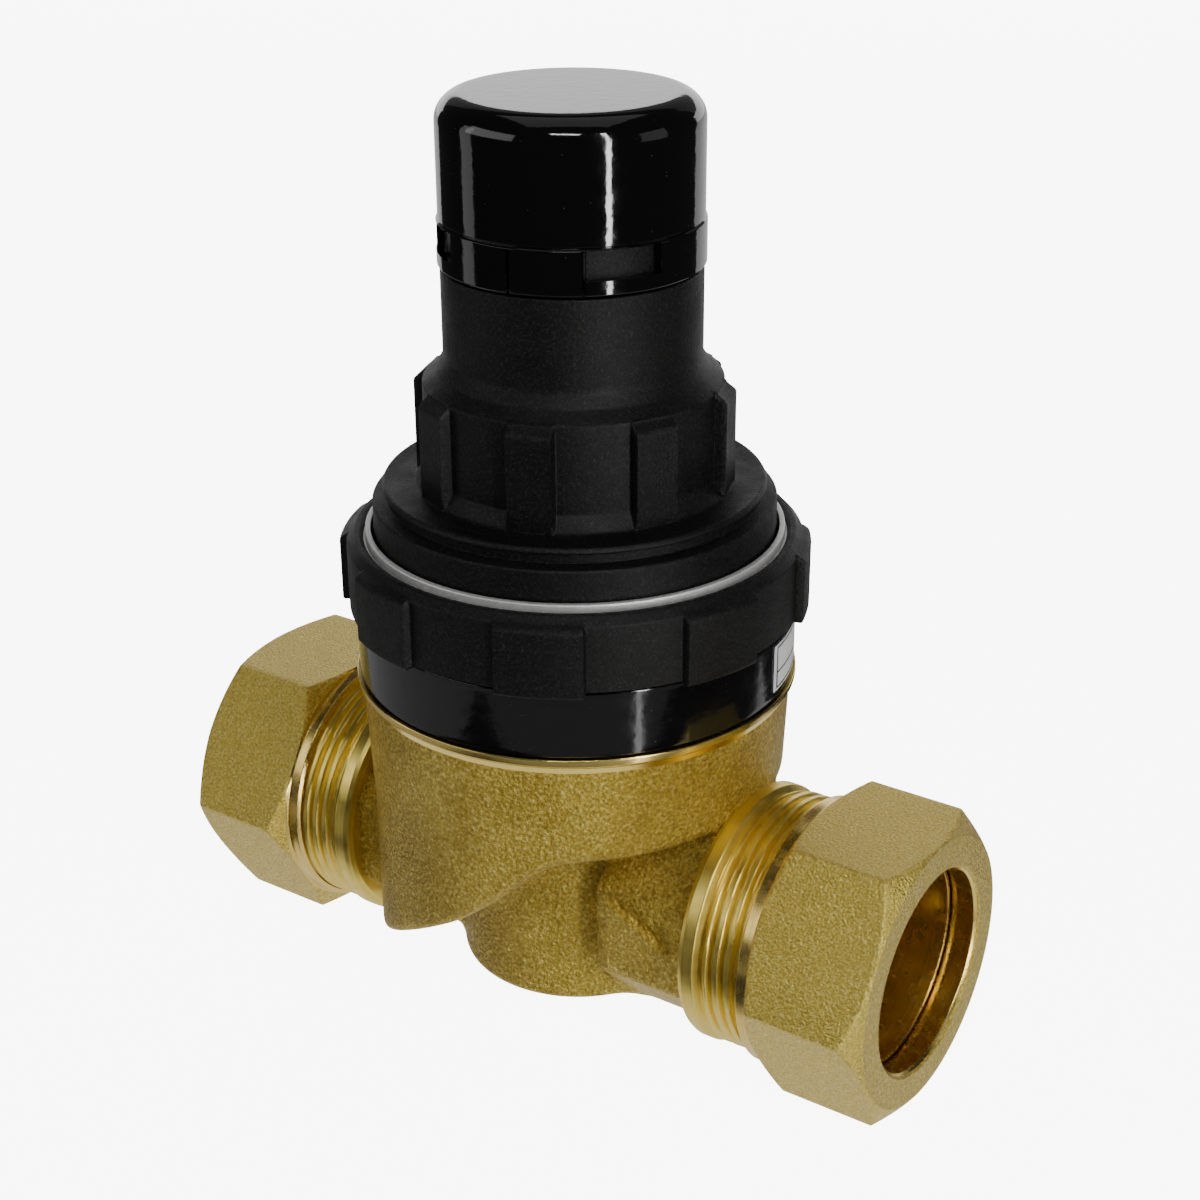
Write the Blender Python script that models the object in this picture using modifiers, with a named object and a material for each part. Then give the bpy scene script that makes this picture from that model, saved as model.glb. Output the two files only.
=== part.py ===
"""Compact pressure reducing valve with 22 mm compression ends.

Everything is modelled about the pipe axis, in millimetres, and hangs on one empty that stands at the pipe
axis height, so that the valve rests on the lower flats of its nuts. +X is the outlet, +Z the spindle.
"""

import math

import bmesh
import bpy

MM = 0.001
GAP = 0.3
PIPE_HEIGHT = 15.0
OVERSHOOT = 2.0

# Segments of turned pieces, by size
FINE = 36
MEDIUM = 32
COARSE = 20
TINY = 12
SEAL_SIDES = 6

# Pipe ends, along the pipe from the spindle axis
PIPE_R = 11.15
WATERWAY_R = 9.0
PIPE_STOP_X = 19.0
OUTLET_WAY_START = 5.0
INLET_WAY_START = 15.5
NECK_AF = 24.8
NECK_START_X = 10.8
SHOULDER_X = 22.5
SHOULDER_R = 14.4
THREAD_X = 24.0
THREAD_ROOT_R = 13.3
THREAD_CREST_R = 14.0
THREAD_PITCH = 1.4
THREAD_TURNS = 4
BODY_END_X = 36.0
BODY_CHAMFER = 3.0
BODY_CHAMFER_R = 13.0

# Compression nuts and olives
NUT_AF = 30.0
NUT_INNER_X = 29.5
NUT_COLLAR_X = 31.0
NUT_HEX_X = 32.3
NUT_CHAMFER_X = 42.7
NUT_FACE_X = 44.7
NUT_CORNER_R = NUT_AF / math.sqrt(3)
NUT_COLLAR_R = 14.85
NUT_FACE_R = 14.6
NUT_BORE_R = 14.3
NUT_CONE_START_X = 38.6
NUT_CONE_R = 13.3
NUT_CONE_END_X = 42.2
NUT_HOLE_R = 11.1
NUT_MOUTH = 0.45
OLIVE_X = (33.9, 35.8, 38.5, 41.2)
OLIVE_R = 12.9
OLIVE_INNER_LIP_R = 11.55
OLIVE_OUTER_LIP_R = 11.6

# Body, heights from the pipe axis
BOSS_R = 13.3
BOSS_BOTTOM = -11.8
BOWL_R = 22.7
BOWL_LOW = -10.6
BOWL_TOP_R = 23.3
RING_R = 24.0
RING_LOW = 23.2
RING_TOP = 24.6
BAND_SEAT_R = 22.8
BODY_NECK_R = 22.6
BODY_TOP = 36.3
CHAMBER_R = 18.5
CHAMBER_FLOOR = 15.0
CARTRIDGE_SHELF = 27.0
CARTRIDGE_BORE_R = 20.0
WEB_BORE_R = 10.5
OUTLET_CHAMBER_R = 11.3
OUTLET_CHAMBER_TOP = 5.0
OUTLET_CHAMBER_FLOOR = -9.0
POCKET_INNER_R = 14.0
POCKET_OUTER_R = 19.8
POCKET_FLOOR = -5.0
POCKET_HALF_ANGLE = 40.0
LEDGE = ((30.0, 12.4), (12.0, 11.6), (9.4, 10.6), (5.0, 6.2), (0.0, 2.0), (-8.4, -3.3), (-17.0, -9.0))

# Flow arrow cast on the front of the outlet neck
ARROW_X = (13.0, 19.5)
ARROW_HALF_HEIGHT = 3.2
ARROW_PROUD = 0.35

# Band and label
BAND_R = 23.65
BAND_INNER_R = 23.1
BAND_LOW = 24.9
BAND_TOP = 31.7
LABEL_R = 23.78
LABEL_THICKNESS = 0.2
LABEL_ANGLES = (5.5, 73.0)
LABEL_LOW = 25.7
LABEL_TOP = 31.0

# Ring nut and slip washer
RING_NUT_R = 24.4
RING_NUT_LOW = 32.5
RING_NUT_TOP = 40.5
RING_NUT_BORE_R = 23.2
RING_NUT_LIP_R = 22.6
LIP_LOW = 40.15
LUG_COUNT = 8
LUG_R = 25.2
LUG_ANGLE = 21.0
LUG_FIRST = -18.6
LUG_LOW = 32.0
LUG_TOP = 39.4
LUG_SLOPE_R = 23.4
WASHER_INNER_R = 21.75
WASHER_R = 22.95
WASHER_LOW = 39.45
WASHER_TOP = 39.9
WASHER_COLLAR_R = 22.25
WASHER_COLLAR_TOP = 41.0

# Spring bonnet
FLANGE_R = 22.8
FLANGE_LOW = 37.9
FLANGE_TOP = 39.2
DRUM_R = 21.45
DRUM_TOP = 44.2
GROOVE_R = 20.6
GROOVE_TOP = 44.9
CREST_R = 20.3
CREST_TOP = 46.05
WAIST_R = 15.7
WAIST_FOOT = 47.7
FOOT_CONE_R = 16.9
FOOT_CONE_LOW = 45.95
WAIST_TOP = 57.0
CONE_TOP = 58.8
CONE_TOP_R = 13.9
TUBE_R = 13.45
TUBE_FOOT = 59.8
TUBE_TOP = 69.1
SPIGOT_R = 12.6
SPIGOT_TOP = 77.6
RIB_COUNT = 8
RIB_FIRST = -25.5
RIB_R = 16.8
RIB_WIDTH = 4.8
RIB_FOOT_WIDTH = 5.6
RIB_BACK_R = 14.9
RIB_LOW = 45.5
RIB_TOP = 56.0
DRUM_INNER_R = 18.6
DRUM_CEILING = 43.0
WAIST_INNER_R = 13.2
SPRING_BORE_FOOT = 46.6
WAIST_CEILING = 56.4
SPRING_BORE_R = 11.1
SPRING_BORE_TOP = 72.6
SCREW_HOLE_R = 6.1

# Tamper cap
CAP_R = 13.5
CAP_SKIRT_R = 13.7
CAP_BORE_R = 12.9
CAP_LOW = 69.4
CAP_SEAM = 74.0
CAP_TOP = 86.4
CAP_EDGE = 2.0
CAP_CEILING = 84.6
WINDOW_LOW = 70.9
WINDOW_TOP = 73.9
WINDOW_WIDTH = 7.6
WINDOW_ANGLES = (-32.6, -131.4, 147.4, 48.6)
SLIT_WIDTH = 0.4
SLIT_ANGLES = (-50.5, -81.8, 129.5, 98.2)

# Adjusting screw, spring and spring plates
SCREW_R = 5.8
SCREW_NOSE_R = 3.0
SCREW_LOW = 68.6
SCREW_THREAD_LOW = 70.4
SCREW_TOP = 79.6
SCREW_KEY_AF = 5.0
SCREW_KEY_DEPTH = 4.0
PLATE_R = 10.7
PLATE_LOW = 66.3
PLATE_TOP = 68.3
PLATE_SPIGOT_R = 7.2
PLATE_SPIGOT = 1.8
SPRING_MEAN_R = 9.0
SPRING_WIRE_R = 1.3
SPRING_TURNS = 6.5
SPRING_POINTS_A_TURN = 10
SPRING_LOW = 40.3
SPRING_TOP = 66.0
CUP_R = 14.6
CUP_LOW = 38.1
CUP_FLOOR = 40.0
CUP_RIM = 42.0
CUP_RIM_INNER_R = 11.6
STEM_NUT_AF = 8.0
STEM_NUT_LOW = 40.3
STEM_NUT_TOP = 43.0

# Diaphragm
DIAPHRAGM_R = 21.9
DIAPHRAGM_LOW = 36.6
DIAPHRAGM_THICKNESS = 1.0
ROLL_R = 16.7
ROLL_HALF_WIDTH = 1.7
ROLL_DEPTH = 1.9
LOWER_PLATE_R = 14.4
LOWER_PLATE_LOW = 34.6
LOWER_PLATE_TOP = 36.3

# Stem and disc
STEM_R = 3.0
STEM_TOP_R = 2.4
STEM_TOP = 44.0
STEM_COLLAR_R = 4.4
STEM_COLLAR_LOW = 32.4
STEM_COLLAR_TOP = 34.3
STEM_LOW = 0.9
STEM_HOLE_R = 2.7
SENSING_HOLE_R = 0.9
DISC_R = 9.4
DISC_LOW = -1.0
DISC_SHELF = 0.8
DISC_RIM_TOP = 3.0
SEAT_WASHER_R = 8.9
SEAT_WASHER_HOLE_R = 4.4
SEAT_WASHER_LOW = 1.1
SEAT_WASHER_TOP = 3.5
DISC_SCREW_LOW = -3.2
DISC_SCREW_R = 3.4

# Cartridge with the seat
CARTRIDGE_R = 19.6
CARTRIDGE_FLANGE_LOW = 27.3
CARTRIDGE_FLANGE_TOP = 30.3
CAGE_R = 11.0
CAGE_INNER_R = 8.4
CAGE_LOW = 15.3
CAGE_TOP = 27.0
SEAT_TUBE_R = 10.2
SEAT_HOLE_R = 7.4
SEAT_LIP = 5.5
STEM_GUIDE_R = 6.4
STEM_GUIDE_LOW = 24.0
STEM_GUIDE_TOP = 31.8
STEM_GUIDE_BORE_R = 3.25
UPPER_SEAL_Z = 28.8
UPPER_SEAL_R = 18.95
UPPER_SEAL_WIRE_R = 0.75
LOWER_SEAL_Z = 10.0
LOWER_SEAL_R = 9.55
LOWER_SEAL_WIRE_R = 0.65
STEM_SEAL_Z = 28.8
STEM_SEAL_R = 4.15
STEM_SEAL_WIRE_R = 0.7
SEAL_GROOVE = 2.2
CAGE_WINDOW_LOW = 16.6
CAGE_WINDOW_TOP = 23.4
CAGE_WINDOW_WIDTH = 8.6
STRAINER_R = 14.4
STRAINER_THICKNESS = 0.5
STRAINER_LOW = 15.6
STRAINER_TOP = 27.0

# Colour, roughness and metallic value of each material
CAST_BRASS = ("cast_brass", (0.42, 0.31, 0.10), 0.42, 1.0)
NUT_BRASS = ("nut_brass", (0.55, 0.43, 0.17), 0.36, 1.0)
OLIVE_BRASS = ("olive_brass", (0.60, 0.46, 0.18), 0.28, 1.0)
STEM_BRASS = ("stem_brass", (0.58, 0.45, 0.19), 0.30, 1.0)
STEEL = ("steel", (0.62, 0.62, 0.60), 0.25, 1.0)
SPRING_STEEL = ("spring_steel", (0.30, 0.30, 0.31), 0.35, 1.0)
BLACK_NYLON = ("black_nylon", (0.012, 0.012, 0.013), 0.55, 0.0)
GLOSS_BLACK = ("gloss_black", (0.006, 0.006, 0.007), 0.08, 0.0)
WHITE_LABEL = ("white_label", (0.80, 0.80, 0.80), 0.35, 0.0)
ACETAL = ("white_acetal", (0.75, 0.74, 0.70), 0.45, 0.0)
RUBBER = ("black_rubber", (0.02, 0.02, 0.02), 0.75, 0.0)


def clear_scene():
    for obj in list(bpy.data.objects):
        bpy.data.objects.remove(obj, do_unlink=True)


def new_collection(name, shown):
    collection = bpy.data.collections.new(name)
    bpy.context.scene.collection.children.link(collection)
    collection.hide_render = not shown
    return collection


clear_scene()
PARTS = new_collection("pressure_reducing_valve", True)
CUTTERS = new_collection("cutters", False)
ORIGIN = bpy.data.objects.new("pipe_axis", None)
ORIGIN.location = (0.0, 0.0, PIPE_HEIGHT * MM)
PARTS.objects.link(ORIGIN)


def give_material(obj, values):
    label, colour, roughness, metallic = values
    material = bpy.data.materials.new(f"{obj.name}_{label}")
    material.use_nodes = True
    shader = material.node_tree.nodes["Principled BSDF"]
    shader.inputs["Base Color"].default_value = (*colour, 1.0)
    shader.inputs["Roughness"].default_value = roughness
    shader.inputs["Metallic"].default_value = metallic
    obj.data.materials.clear()
    obj.data.materials.append(material)


def place(obj, material):
    """Makes a node of the object when it has a material, and a hidden cutter or helper when it has none."""
    obj.parent = ORIGIN
    if material is None:
        CUTTERS.objects.link(obj)
        obj.hide_render = True
        obj.display_type = "WIRE"
    else:
        PARTS.objects.link(obj)
        give_material(obj, material)
    return obj


def turned(name, profile, segments, material=None, closed=True):
    """A profile of (radius, height) points turned about local Z. An open profile starts and ends on the axis."""
    count = len(profile)
    edges = [(i, (i + 1) % count) for i in range(count if closed else count - 1)]
    mesh = bpy.data.meshes.new(name)
    mesh.from_pydata([(r * MM, 0.0, z * MM) for r, z in profile], edges, [])
    obj = place(bpy.data.objects.new(name, mesh), material)
    screw = obj.modifiers.new("turn", "SCREW")
    screw.steps = segments
    screw.render_steps = segments
    screw.use_merge_vertices = True
    screw.merge_threshold = 0.000001
    return obj


def ring(name, inner_r, outer_r, low, high, segments, material=None):
    profile = [(outer_r, high), (outer_r, low), (inner_r, low), (inner_r, high)]
    return turned(name, profile, segments, material)


def drum(name, radius, low, high, segments, material=None):
    return turned(name, [(0, high), (radius, high), (radius, low), (0, low)], segments, material, closed=False)


def plate(name, outline, low, high, material=None):
    """A flat outline of (x, y) points, filled and extruded from one height to the other along local Z."""
    curve = bpy.data.curves.new(name, "CURVE")
    curve.dimensions = "2D"
    curve.fill_mode = "BOTH"
    curve.extrude = (high - low) / 2 * MM
    spline = curve.splines.new("POLY")
    spline.points.add(len(outline) - 1)
    for point, (x, y) in zip(spline.points, outline):
        point.co = (x * MM, y * MM, 0.0, 1.0)
    spline.use_cyclic_u = True
    return place(solid_from_curve(name, curve, (high + low) / 2 * MM), material)


def solid_from_curve(name, curve, lift=0.0):
    """The mesh of a curve, with its caps welded on, because a Boolean takes no curve."""
    guide = bpy.data.objects.new(name, curve)
    bpy.context.scene.collection.objects.link(guide)
    graph = bpy.context.evaluated_depsgraph_get()
    mesh = bpy.data.meshes.new_from_object(guide.evaluated_get(graph))
    bpy.data.objects.remove(guide)
    work = bmesh.new()
    work.from_mesh(mesh)
    bmesh.ops.remove_doubles(work, verts=work.verts, dist=0.000001)
    bmesh.ops.translate(work, verts=work.verts, vec=(0.0, 0.0, lift))
    bmesh.ops.recalc_face_normals(work, faces=work.faces)
    work.to_mesh(mesh)
    work.free()
    return bpy.data.objects.new(name, mesh)


def block(name, size, centre, turn=0.0):
    """A box with these sides about this centre, then turned about Z by so many degrees."""
    work = bmesh.new()
    bmesh.ops.create_cube(work, size=1.0)
    bmesh.ops.scale(work, verts=work.verts, vec=[side * MM for side in size])
    bmesh.ops.translate(work, verts=work.verts, vec=[c * MM for c in centre])
    mesh = bpy.data.meshes.new(name)
    work.to_mesh(mesh)
    work.free()
    obj = place(bpy.data.objects.new(name, mesh), None)
    obj.rotation_euler.z = math.radians(turn)
    return obj


def combine(obj, other, operation):
    boolean = obj.modifiers.new(other.name, "BOOLEAN")
    boolean.operation = operation
    boolean.solver = "EXACT"
    boolean.object = other
    return obj


def cut(obj, *others):
    for other in others:
        combine(obj, other, "DIFFERENCE")


def join(obj, *others):
    for other in others:
        combine(obj, other, "UNION")


def along_pipe(obj, side):
    """Turns local Z onto the pipe axis: side 1 points at the outlet and side -1 at the inlet."""
    obj.rotation_euler.y = side * math.pi / 2
    return obj


def on_front(obj):
    """Stands an outline drawn in X and Y up in X and Z, so that local Z points at -Y."""
    obj.rotation_euler.x = math.pi / 2
    return obj


def polar(radius, degrees):
    return radius * math.cos(math.radians(degrees)), radius * math.sin(math.radians(degrees))


def arc(radius, start, end, steps):
    return [polar(radius, start + (end - start) * i / steps) for i in range(steps + 1)]


def sector(inner_r, outer_r, start, end, steps):
    return arc(outer_r, start, end, steps) + arc(inner_r, end, start, steps)


def polygon(across_flats, sides, first_corner):
    corner_r = across_flats / 2 / math.cos(math.pi / sides)
    return [polar(corner_r, first_corner + 360 * i / sides) for i in range(sides)]


def fillet(corner, radius, start, end, steps=3):
    """Points of an arc about a centre, for the rounded corners of a profile."""
    return [(corner[0] + x, corner[1] + z) for x, z in arc(radius, start, end, steps)]


def o_ring(name, mean_r, wire_r, height):
    profile = [(mean_r + r, height + z) for r, z in arc(wire_r, 0, -360, SEAL_SIDES)[:-1]]
    turned(name, profile, COARSE, RUBBER)


def end_of_body(side, label, way_start):
    """One neck, shoulder and male thread, with the cutter for its waterway and pipe socket."""
    neck = plate(f"neck_{label}", polygon(NECK_AF, 8, 22.5), NECK_START_X, SHOULDER_X + 1)
    outer = [(SHOULDER_R - 0.5, SHOULDER_X), (SHOULDER_R, SHOULDER_X + 0.5), (SHOULDER_R, THREAD_X - 0.3)]
    outer.append((THREAD_ROOT_R, THREAD_X))
    for turn in range(THREAD_TURNS):
        x = THREAD_X + THREAD_PITCH * (turn + 0.5)
        outer += [(THREAD_CREST_R, x), (THREAD_ROOT_R, x + THREAD_PITCH / 2)]
    outer += [(THREAD_CREST_R, THREAD_X + THREAD_PITCH * (THREAD_TURNS + 0.5))]
    outer += [(THREAD_CREST_R, BODY_END_X - 0.6), (THREAD_ROOT_R, BODY_END_X), (0.0, BODY_END_X)]
    profile = [(0.0, SHOULDER_X)] + outer
    thread = turned(f"thread_{label}", profile[::-1], COARSE, closed=False)
    way = turned(
        f"way_{label}",
        [
            (0.0, BODY_END_X + OVERSHOOT),
            (BODY_CHAMFER_R, BODY_END_X + OVERSHOOT),
            (BODY_CHAMFER_R, BODY_END_X),
            (PIPE_R, BODY_END_X - BODY_CHAMFER),
            (PIPE_R, PIPE_STOP_X),
            (WATERWAY_R, PIPE_STOP_X),
            (WATERWAY_R, way_start),
            (0.0, way_start),
        ],
        COARSE,
        closed=False,
    )
    return [along_pipe(obj, side) for obj in (neck, thread, way)]


def valve_body():
    outside = [(0.0, BOWL_LOW), (BOWL_R - 4, BOWL_LOW)]
    outside += fillet((BOWL_R - 4, BOWL_LOW + 4), 4, -90, 0, 4)[1:]
    outside += [
        (BOWL_R + 0.2, 12.0),
        (BOWL_TOP_R, RING_LOW - 1.5),
        (RING_R - 0.2, RING_LOW),
        (RING_R, RING_LOW + 0.3),
        (RING_R, RING_TOP),
        (BAND_SEAT_R, RING_TOP),
        (BAND_SEAT_R, BAND_TOP),
        (BODY_NECK_R, BAND_TOP),
        (BODY_NECK_R, BODY_TOP),
        (0.0, BODY_TOP),
    ]
    body = turned("valve_body", outside[::-1], MEDIUM, CAST_BRASS, closed=False)
    lower = LEDGE + ((-17.0, -20.0), (30.0, -20.0))
    under_ledge = on_front(plate("under_ledge", lower, -30.0, 30.0))
    cut(body, under_ledge)
    boss_edge = 0.8
    boss = turned(
        "boss",
        [
            (0.0, CHAMBER_FLOOR),
            (BOSS_R, CHAMBER_FLOOR),
            (BOSS_R, BOSS_BOTTOM + boss_edge),
            (BOSS_R - boss_edge, BOSS_BOTTOM),
            (0.0, BOSS_BOTTOM),
        ],
        MEDIUM,
        closed=False,
    )
    neck_out, thread_out, way_out = end_of_body(1, "outlet", OUTLET_WAY_START)
    neck_in, thread_in, way_in = end_of_body(-1, "inlet", INLET_WAY_START)
    join(body, boss, neck_out, neck_in, thread_out, thread_in)
    triangle = [(ARROW_X[0], -ARROW_HALF_HEIGHT), (ARROW_X[1], 0.0), (ARROW_X[0], ARROW_HALF_HEIGHT)]
    join(body, on_front(plate("flow_arrow", triangle, NECK_AF / 2 - 1, NECK_AF / 2 + ARROW_PROUD)))
    chambers = turned(
        "chambers",
        [
            (0.0, BODY_TOP + OVERSHOOT),
            (CARTRIDGE_BORE_R, BODY_TOP + OVERSHOOT),
            (CARTRIDGE_BORE_R, CARTRIDGE_SHELF),
            (CHAMBER_R, CARTRIDGE_SHELF),
            (CHAMBER_R, CHAMBER_FLOOR),
            (WEB_BORE_R, CHAMBER_FLOOR),
            (WEB_BORE_R, OUTLET_CHAMBER_TOP),
            (OUTLET_CHAMBER_R, OUTLET_CHAMBER_TOP),
            (OUTLET_CHAMBER_R, OUTLET_CHAMBER_FLOOR),
            (0.0, OUTLET_CHAMBER_FLOOR),
        ],
        MEDIUM,
        closed=False,
    )
    pocket_outline = sector(
        POCKET_INNER_R, POCKET_OUTER_R, 180 - POCKET_HALF_ANGLE, 180 + POCKET_HALF_ANGLE, 8
    )
    pocket = plate("inlet_pocket", pocket_outline, POCKET_FLOOR, CHAMBER_FLOOR + 1)
    cut(body, chambers, pocket, way_out, way_in)


def compression_end(side, label):
    """A nut and the olive inside it, at one end."""
    hexagon = plate(f"{label}_hexagon", polygon(NUT_AF, 6, 30), NUT_INNER_X, NUT_FACE_X)
    envelope = [
        (0.0, NUT_FACE_X),
        (NUT_FACE_R, NUT_FACE_X),
        (NUT_CORNER_R, NUT_CHAMFER_X),
        (NUT_CORNER_R, NUT_HEX_X),
        (NUT_COLLAR_R, NUT_COLLAR_X),
        (NUT_COLLAR_R, NUT_INNER_X + 0.3),
        (NUT_COLLAR_R - 0.2, NUT_INNER_X),
        (0.0, NUT_INNER_X),
    ]
    nut = turned(f"{label}_compression_nut", envelope, MEDIUM, NUT_BRASS, closed=False)
    combine(nut, along_pipe(hexagon, side), "INTERSECT")
    bore = turned(
        f"{label}_nut_bore",
        [
            (0.0, NUT_FACE_X + OVERSHOOT),
            (NUT_HOLE_R + NUT_MOUTH, NUT_FACE_X + OVERSHOOT),
            (NUT_HOLE_R + NUT_MOUTH, NUT_FACE_X),
            (NUT_HOLE_R, NUT_FACE_X - NUT_MOUTH),
            (NUT_HOLE_R, NUT_CONE_END_X),
            (NUT_CONE_R, NUT_CONE_START_X),
            (NUT_BORE_R, NUT_CONE_START_X),
            (NUT_BORE_R, NUT_INNER_X - OVERSHOOT),
            (0.0, NUT_INNER_X - OVERSHOOT),
        ],
        MEDIUM,
        closed=False,
    )
    cut(nut, along_pipe(bore, side))
    along_pipe(nut, side)
    start, front, back, end = OLIVE_X
    barrel = [(OLIVE_OUTER_LIP_R, end), (OLIVE_R, back), (OLIVE_R, front + 0.5), (OLIVE_R - 0.3, front)]
    barrel += [(OLIVE_INNER_LIP_R, start), (PIPE_R, start), (PIPE_R, end)]
    along_pipe(turned(f"{label}_olive", barrel, COARSE, OLIVE_BRASS), side)


def band_and_label():
    ring("identification_band", BAND_INNER_R, BAND_R, BAND_LOW, BAND_TOP, FINE, GLOSS_BLACK)
    outline = sector(LABEL_R, LABEL_R + LABEL_THICKNESS, *LABEL_ANGLES, 12)
    plate("blank_label", outline, LABEL_LOW, LABEL_TOP, WHITE_LABEL)


def lug(index):
    """One castellation of the ring nut, with a sloping top."""
    outline = sector(RING_NUT_R - 1, LUG_R, -LUG_ANGLE / 2, LUG_ANGLE / 2, 4)
    solid = plate(f"lug_{index}", outline, LUG_LOW, RING_NUT_TOP)
    slope = turned(
        f"lug_slope_{index}",
        [(LUG_R + 1, RING_NUT_TOP + 1), (LUG_R + 1, LUG_TOP - 0.6), (LUG_SLOPE_R, RING_NUT_TOP + 1)],
        MEDIUM,
    )
    cut(solid, slope)
    solid.rotation_euler.z = math.radians(LUG_FIRST + 360 * index / LUG_COUNT)
    return solid


def ring_nut_and_washer():
    nut = turned(
        "union_ring_nut",
        [
            (RING_NUT_LIP_R + 0.4, RING_NUT_TOP),
            (RING_NUT_R - 0.5, RING_NUT_TOP),
            (RING_NUT_R, RING_NUT_TOP - 0.5),
            (RING_NUT_R, RING_NUT_LOW),
            (RING_NUT_BORE_R, RING_NUT_LOW),
            (RING_NUT_BORE_R, LIP_LOW),
            (RING_NUT_LIP_R, LIP_LOW),
        ],
        FINE,
        BLACK_NYLON,
    )
    join(nut, *(lug(index) for index in range(LUG_COUNT)))
    turned(
        "slip_washer",
        [
            (WASHER_R, WASHER_TOP),
            (WASHER_R, WASHER_LOW),
            (WASHER_INNER_R, WASHER_LOW),
            (WASHER_INNER_R, WASHER_COLLAR_TOP),
            (WASHER_COLLAR_R, WASHER_COLLAR_TOP),
            (WASHER_COLLAR_R, WASHER_TOP),
        ],
        FINE,
        STEEL,
    )


def rib(index):
    """One upright rib on the waist of the bonnet, wider at its foot and sloping back at its top."""
    outline = [
        (RIB_BACK_R, -RIB_FOOT_WIDTH / 2),
        (RIB_R, -RIB_WIDTH / 2),
        (RIB_R, RIB_WIDTH / 2),
        (RIB_BACK_R, RIB_FOOT_WIDTH / 2),
    ]
    solid = plate(f"rib_{index}", outline, RIB_LOW, WAIST_TOP)
    fall = (WAIST_TOP - RIB_TOP) / (RIB_R - WAIST_R)
    slope_outline = [
        (RIB_R + 1, WAIST_TOP + 1),
        (RIB_BACK_R - 1, WAIST_TOP + 1),
        (WAIST_R, WAIST_TOP),
        (RIB_R + 1, RIB_TOP - fall),
    ]
    cut(solid, on_front(plate(f"rib_slope_{index}", slope_outline, -5.0, 5.0)))
    solid.rotation_euler.z = math.radians(RIB_FIRST + 360 * index / RIB_COUNT)
    return solid


def spring_bonnet():
    bonnet = turned(
        "spring_bonnet",
        [
            (SCREW_HOLE_R, SPIGOT_TOP),
            (SPIGOT_R - 0.8, SPIGOT_TOP),
            (SPIGOT_R, SPIGOT_TOP - 0.8),
            (SPIGOT_R, TUBE_TOP),
            (TUBE_R, TUBE_TOP),
            (TUBE_R, TUBE_FOOT),
            (CONE_TOP_R, CONE_TOP),
            (WAIST_R - 0.9, CONE_TOP - 0.9),
            (WAIST_R, WAIST_TOP),
            (WAIST_R, WAIST_FOOT),
            (FOOT_CONE_R, FOOT_CONE_LOW),
            (CREST_R - 0.5, CREST_TOP),
            (CREST_R, CREST_TOP - 0.5),
            (GROOVE_R, GROOVE_TOP),
            (GROOVE_R, DRUM_TOP + 0.2),
            (DRUM_R - 0.3, DRUM_TOP),
            (DRUM_R, DRUM_TOP - 0.5),
            (DRUM_R, FLANGE_TOP),
            (FLANGE_R, FLANGE_TOP),
            (FLANGE_R, FLANGE_LOW),
            (DRUM_INNER_R, FLANGE_LOW),
            (DRUM_INNER_R, DRUM_CEILING),
            (WAIST_INNER_R, SPRING_BORE_FOOT),
            (WAIST_INNER_R, WAIST_CEILING),
            (SPRING_BORE_R, WAIST_CEILING + 1.5),
            (SPRING_BORE_R, SPRING_BORE_TOP),
            (SCREW_HOLE_R, SPRING_BORE_TOP),
        ],
        MEDIUM,
        BLACK_NYLON,
    )
    join(bonnet, *(rib(index) for index in range(RIB_COUNT)))


def tamper_cap():
    edge = fillet((CAP_R - CAP_EDGE, CAP_TOP - CAP_EDGE), CAP_EDGE, 90, 0, 4)
    cap = turned(
        "tamper_cap",
        [(0.0, CAP_TOP)]
        + edge
        + [
            (CAP_R, CAP_SEAM),
            (CAP_SKIRT_R, CAP_SEAM - 0.2),
            (CAP_SKIRT_R, CAP_LOW),
            (CAP_BORE_R, CAP_LOW),
            (CAP_BORE_R, CAP_CEILING - 2.0),
            (CAP_BORE_R - 2.0, CAP_CEILING),
            (0.0, CAP_CEILING),
        ],
        MEDIUM,
        GLOSS_BLACK,
        closed=False,
    )
    depth = 4.0
    for index, angle in enumerate(WINDOW_ANGLES):
        size = (depth, WINDOW_WIDTH, WINDOW_TOP - WINDOW_LOW)
        cut(cap, block(f"cap_window_{index}", size, (CAP_R, 0, (WINDOW_LOW + WINDOW_TOP) / 2), angle))
    for index, angle in enumerate(SLIT_ANGLES):
        size = (depth, SLIT_WIDTH, CAP_SEAM - CAP_LOW + 1)
        cut(cap, block(f"cap_slit_{index}", size, (CAP_R, 0, (CAP_LOW + CAP_SEAM - 1) / 2), angle))


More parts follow.
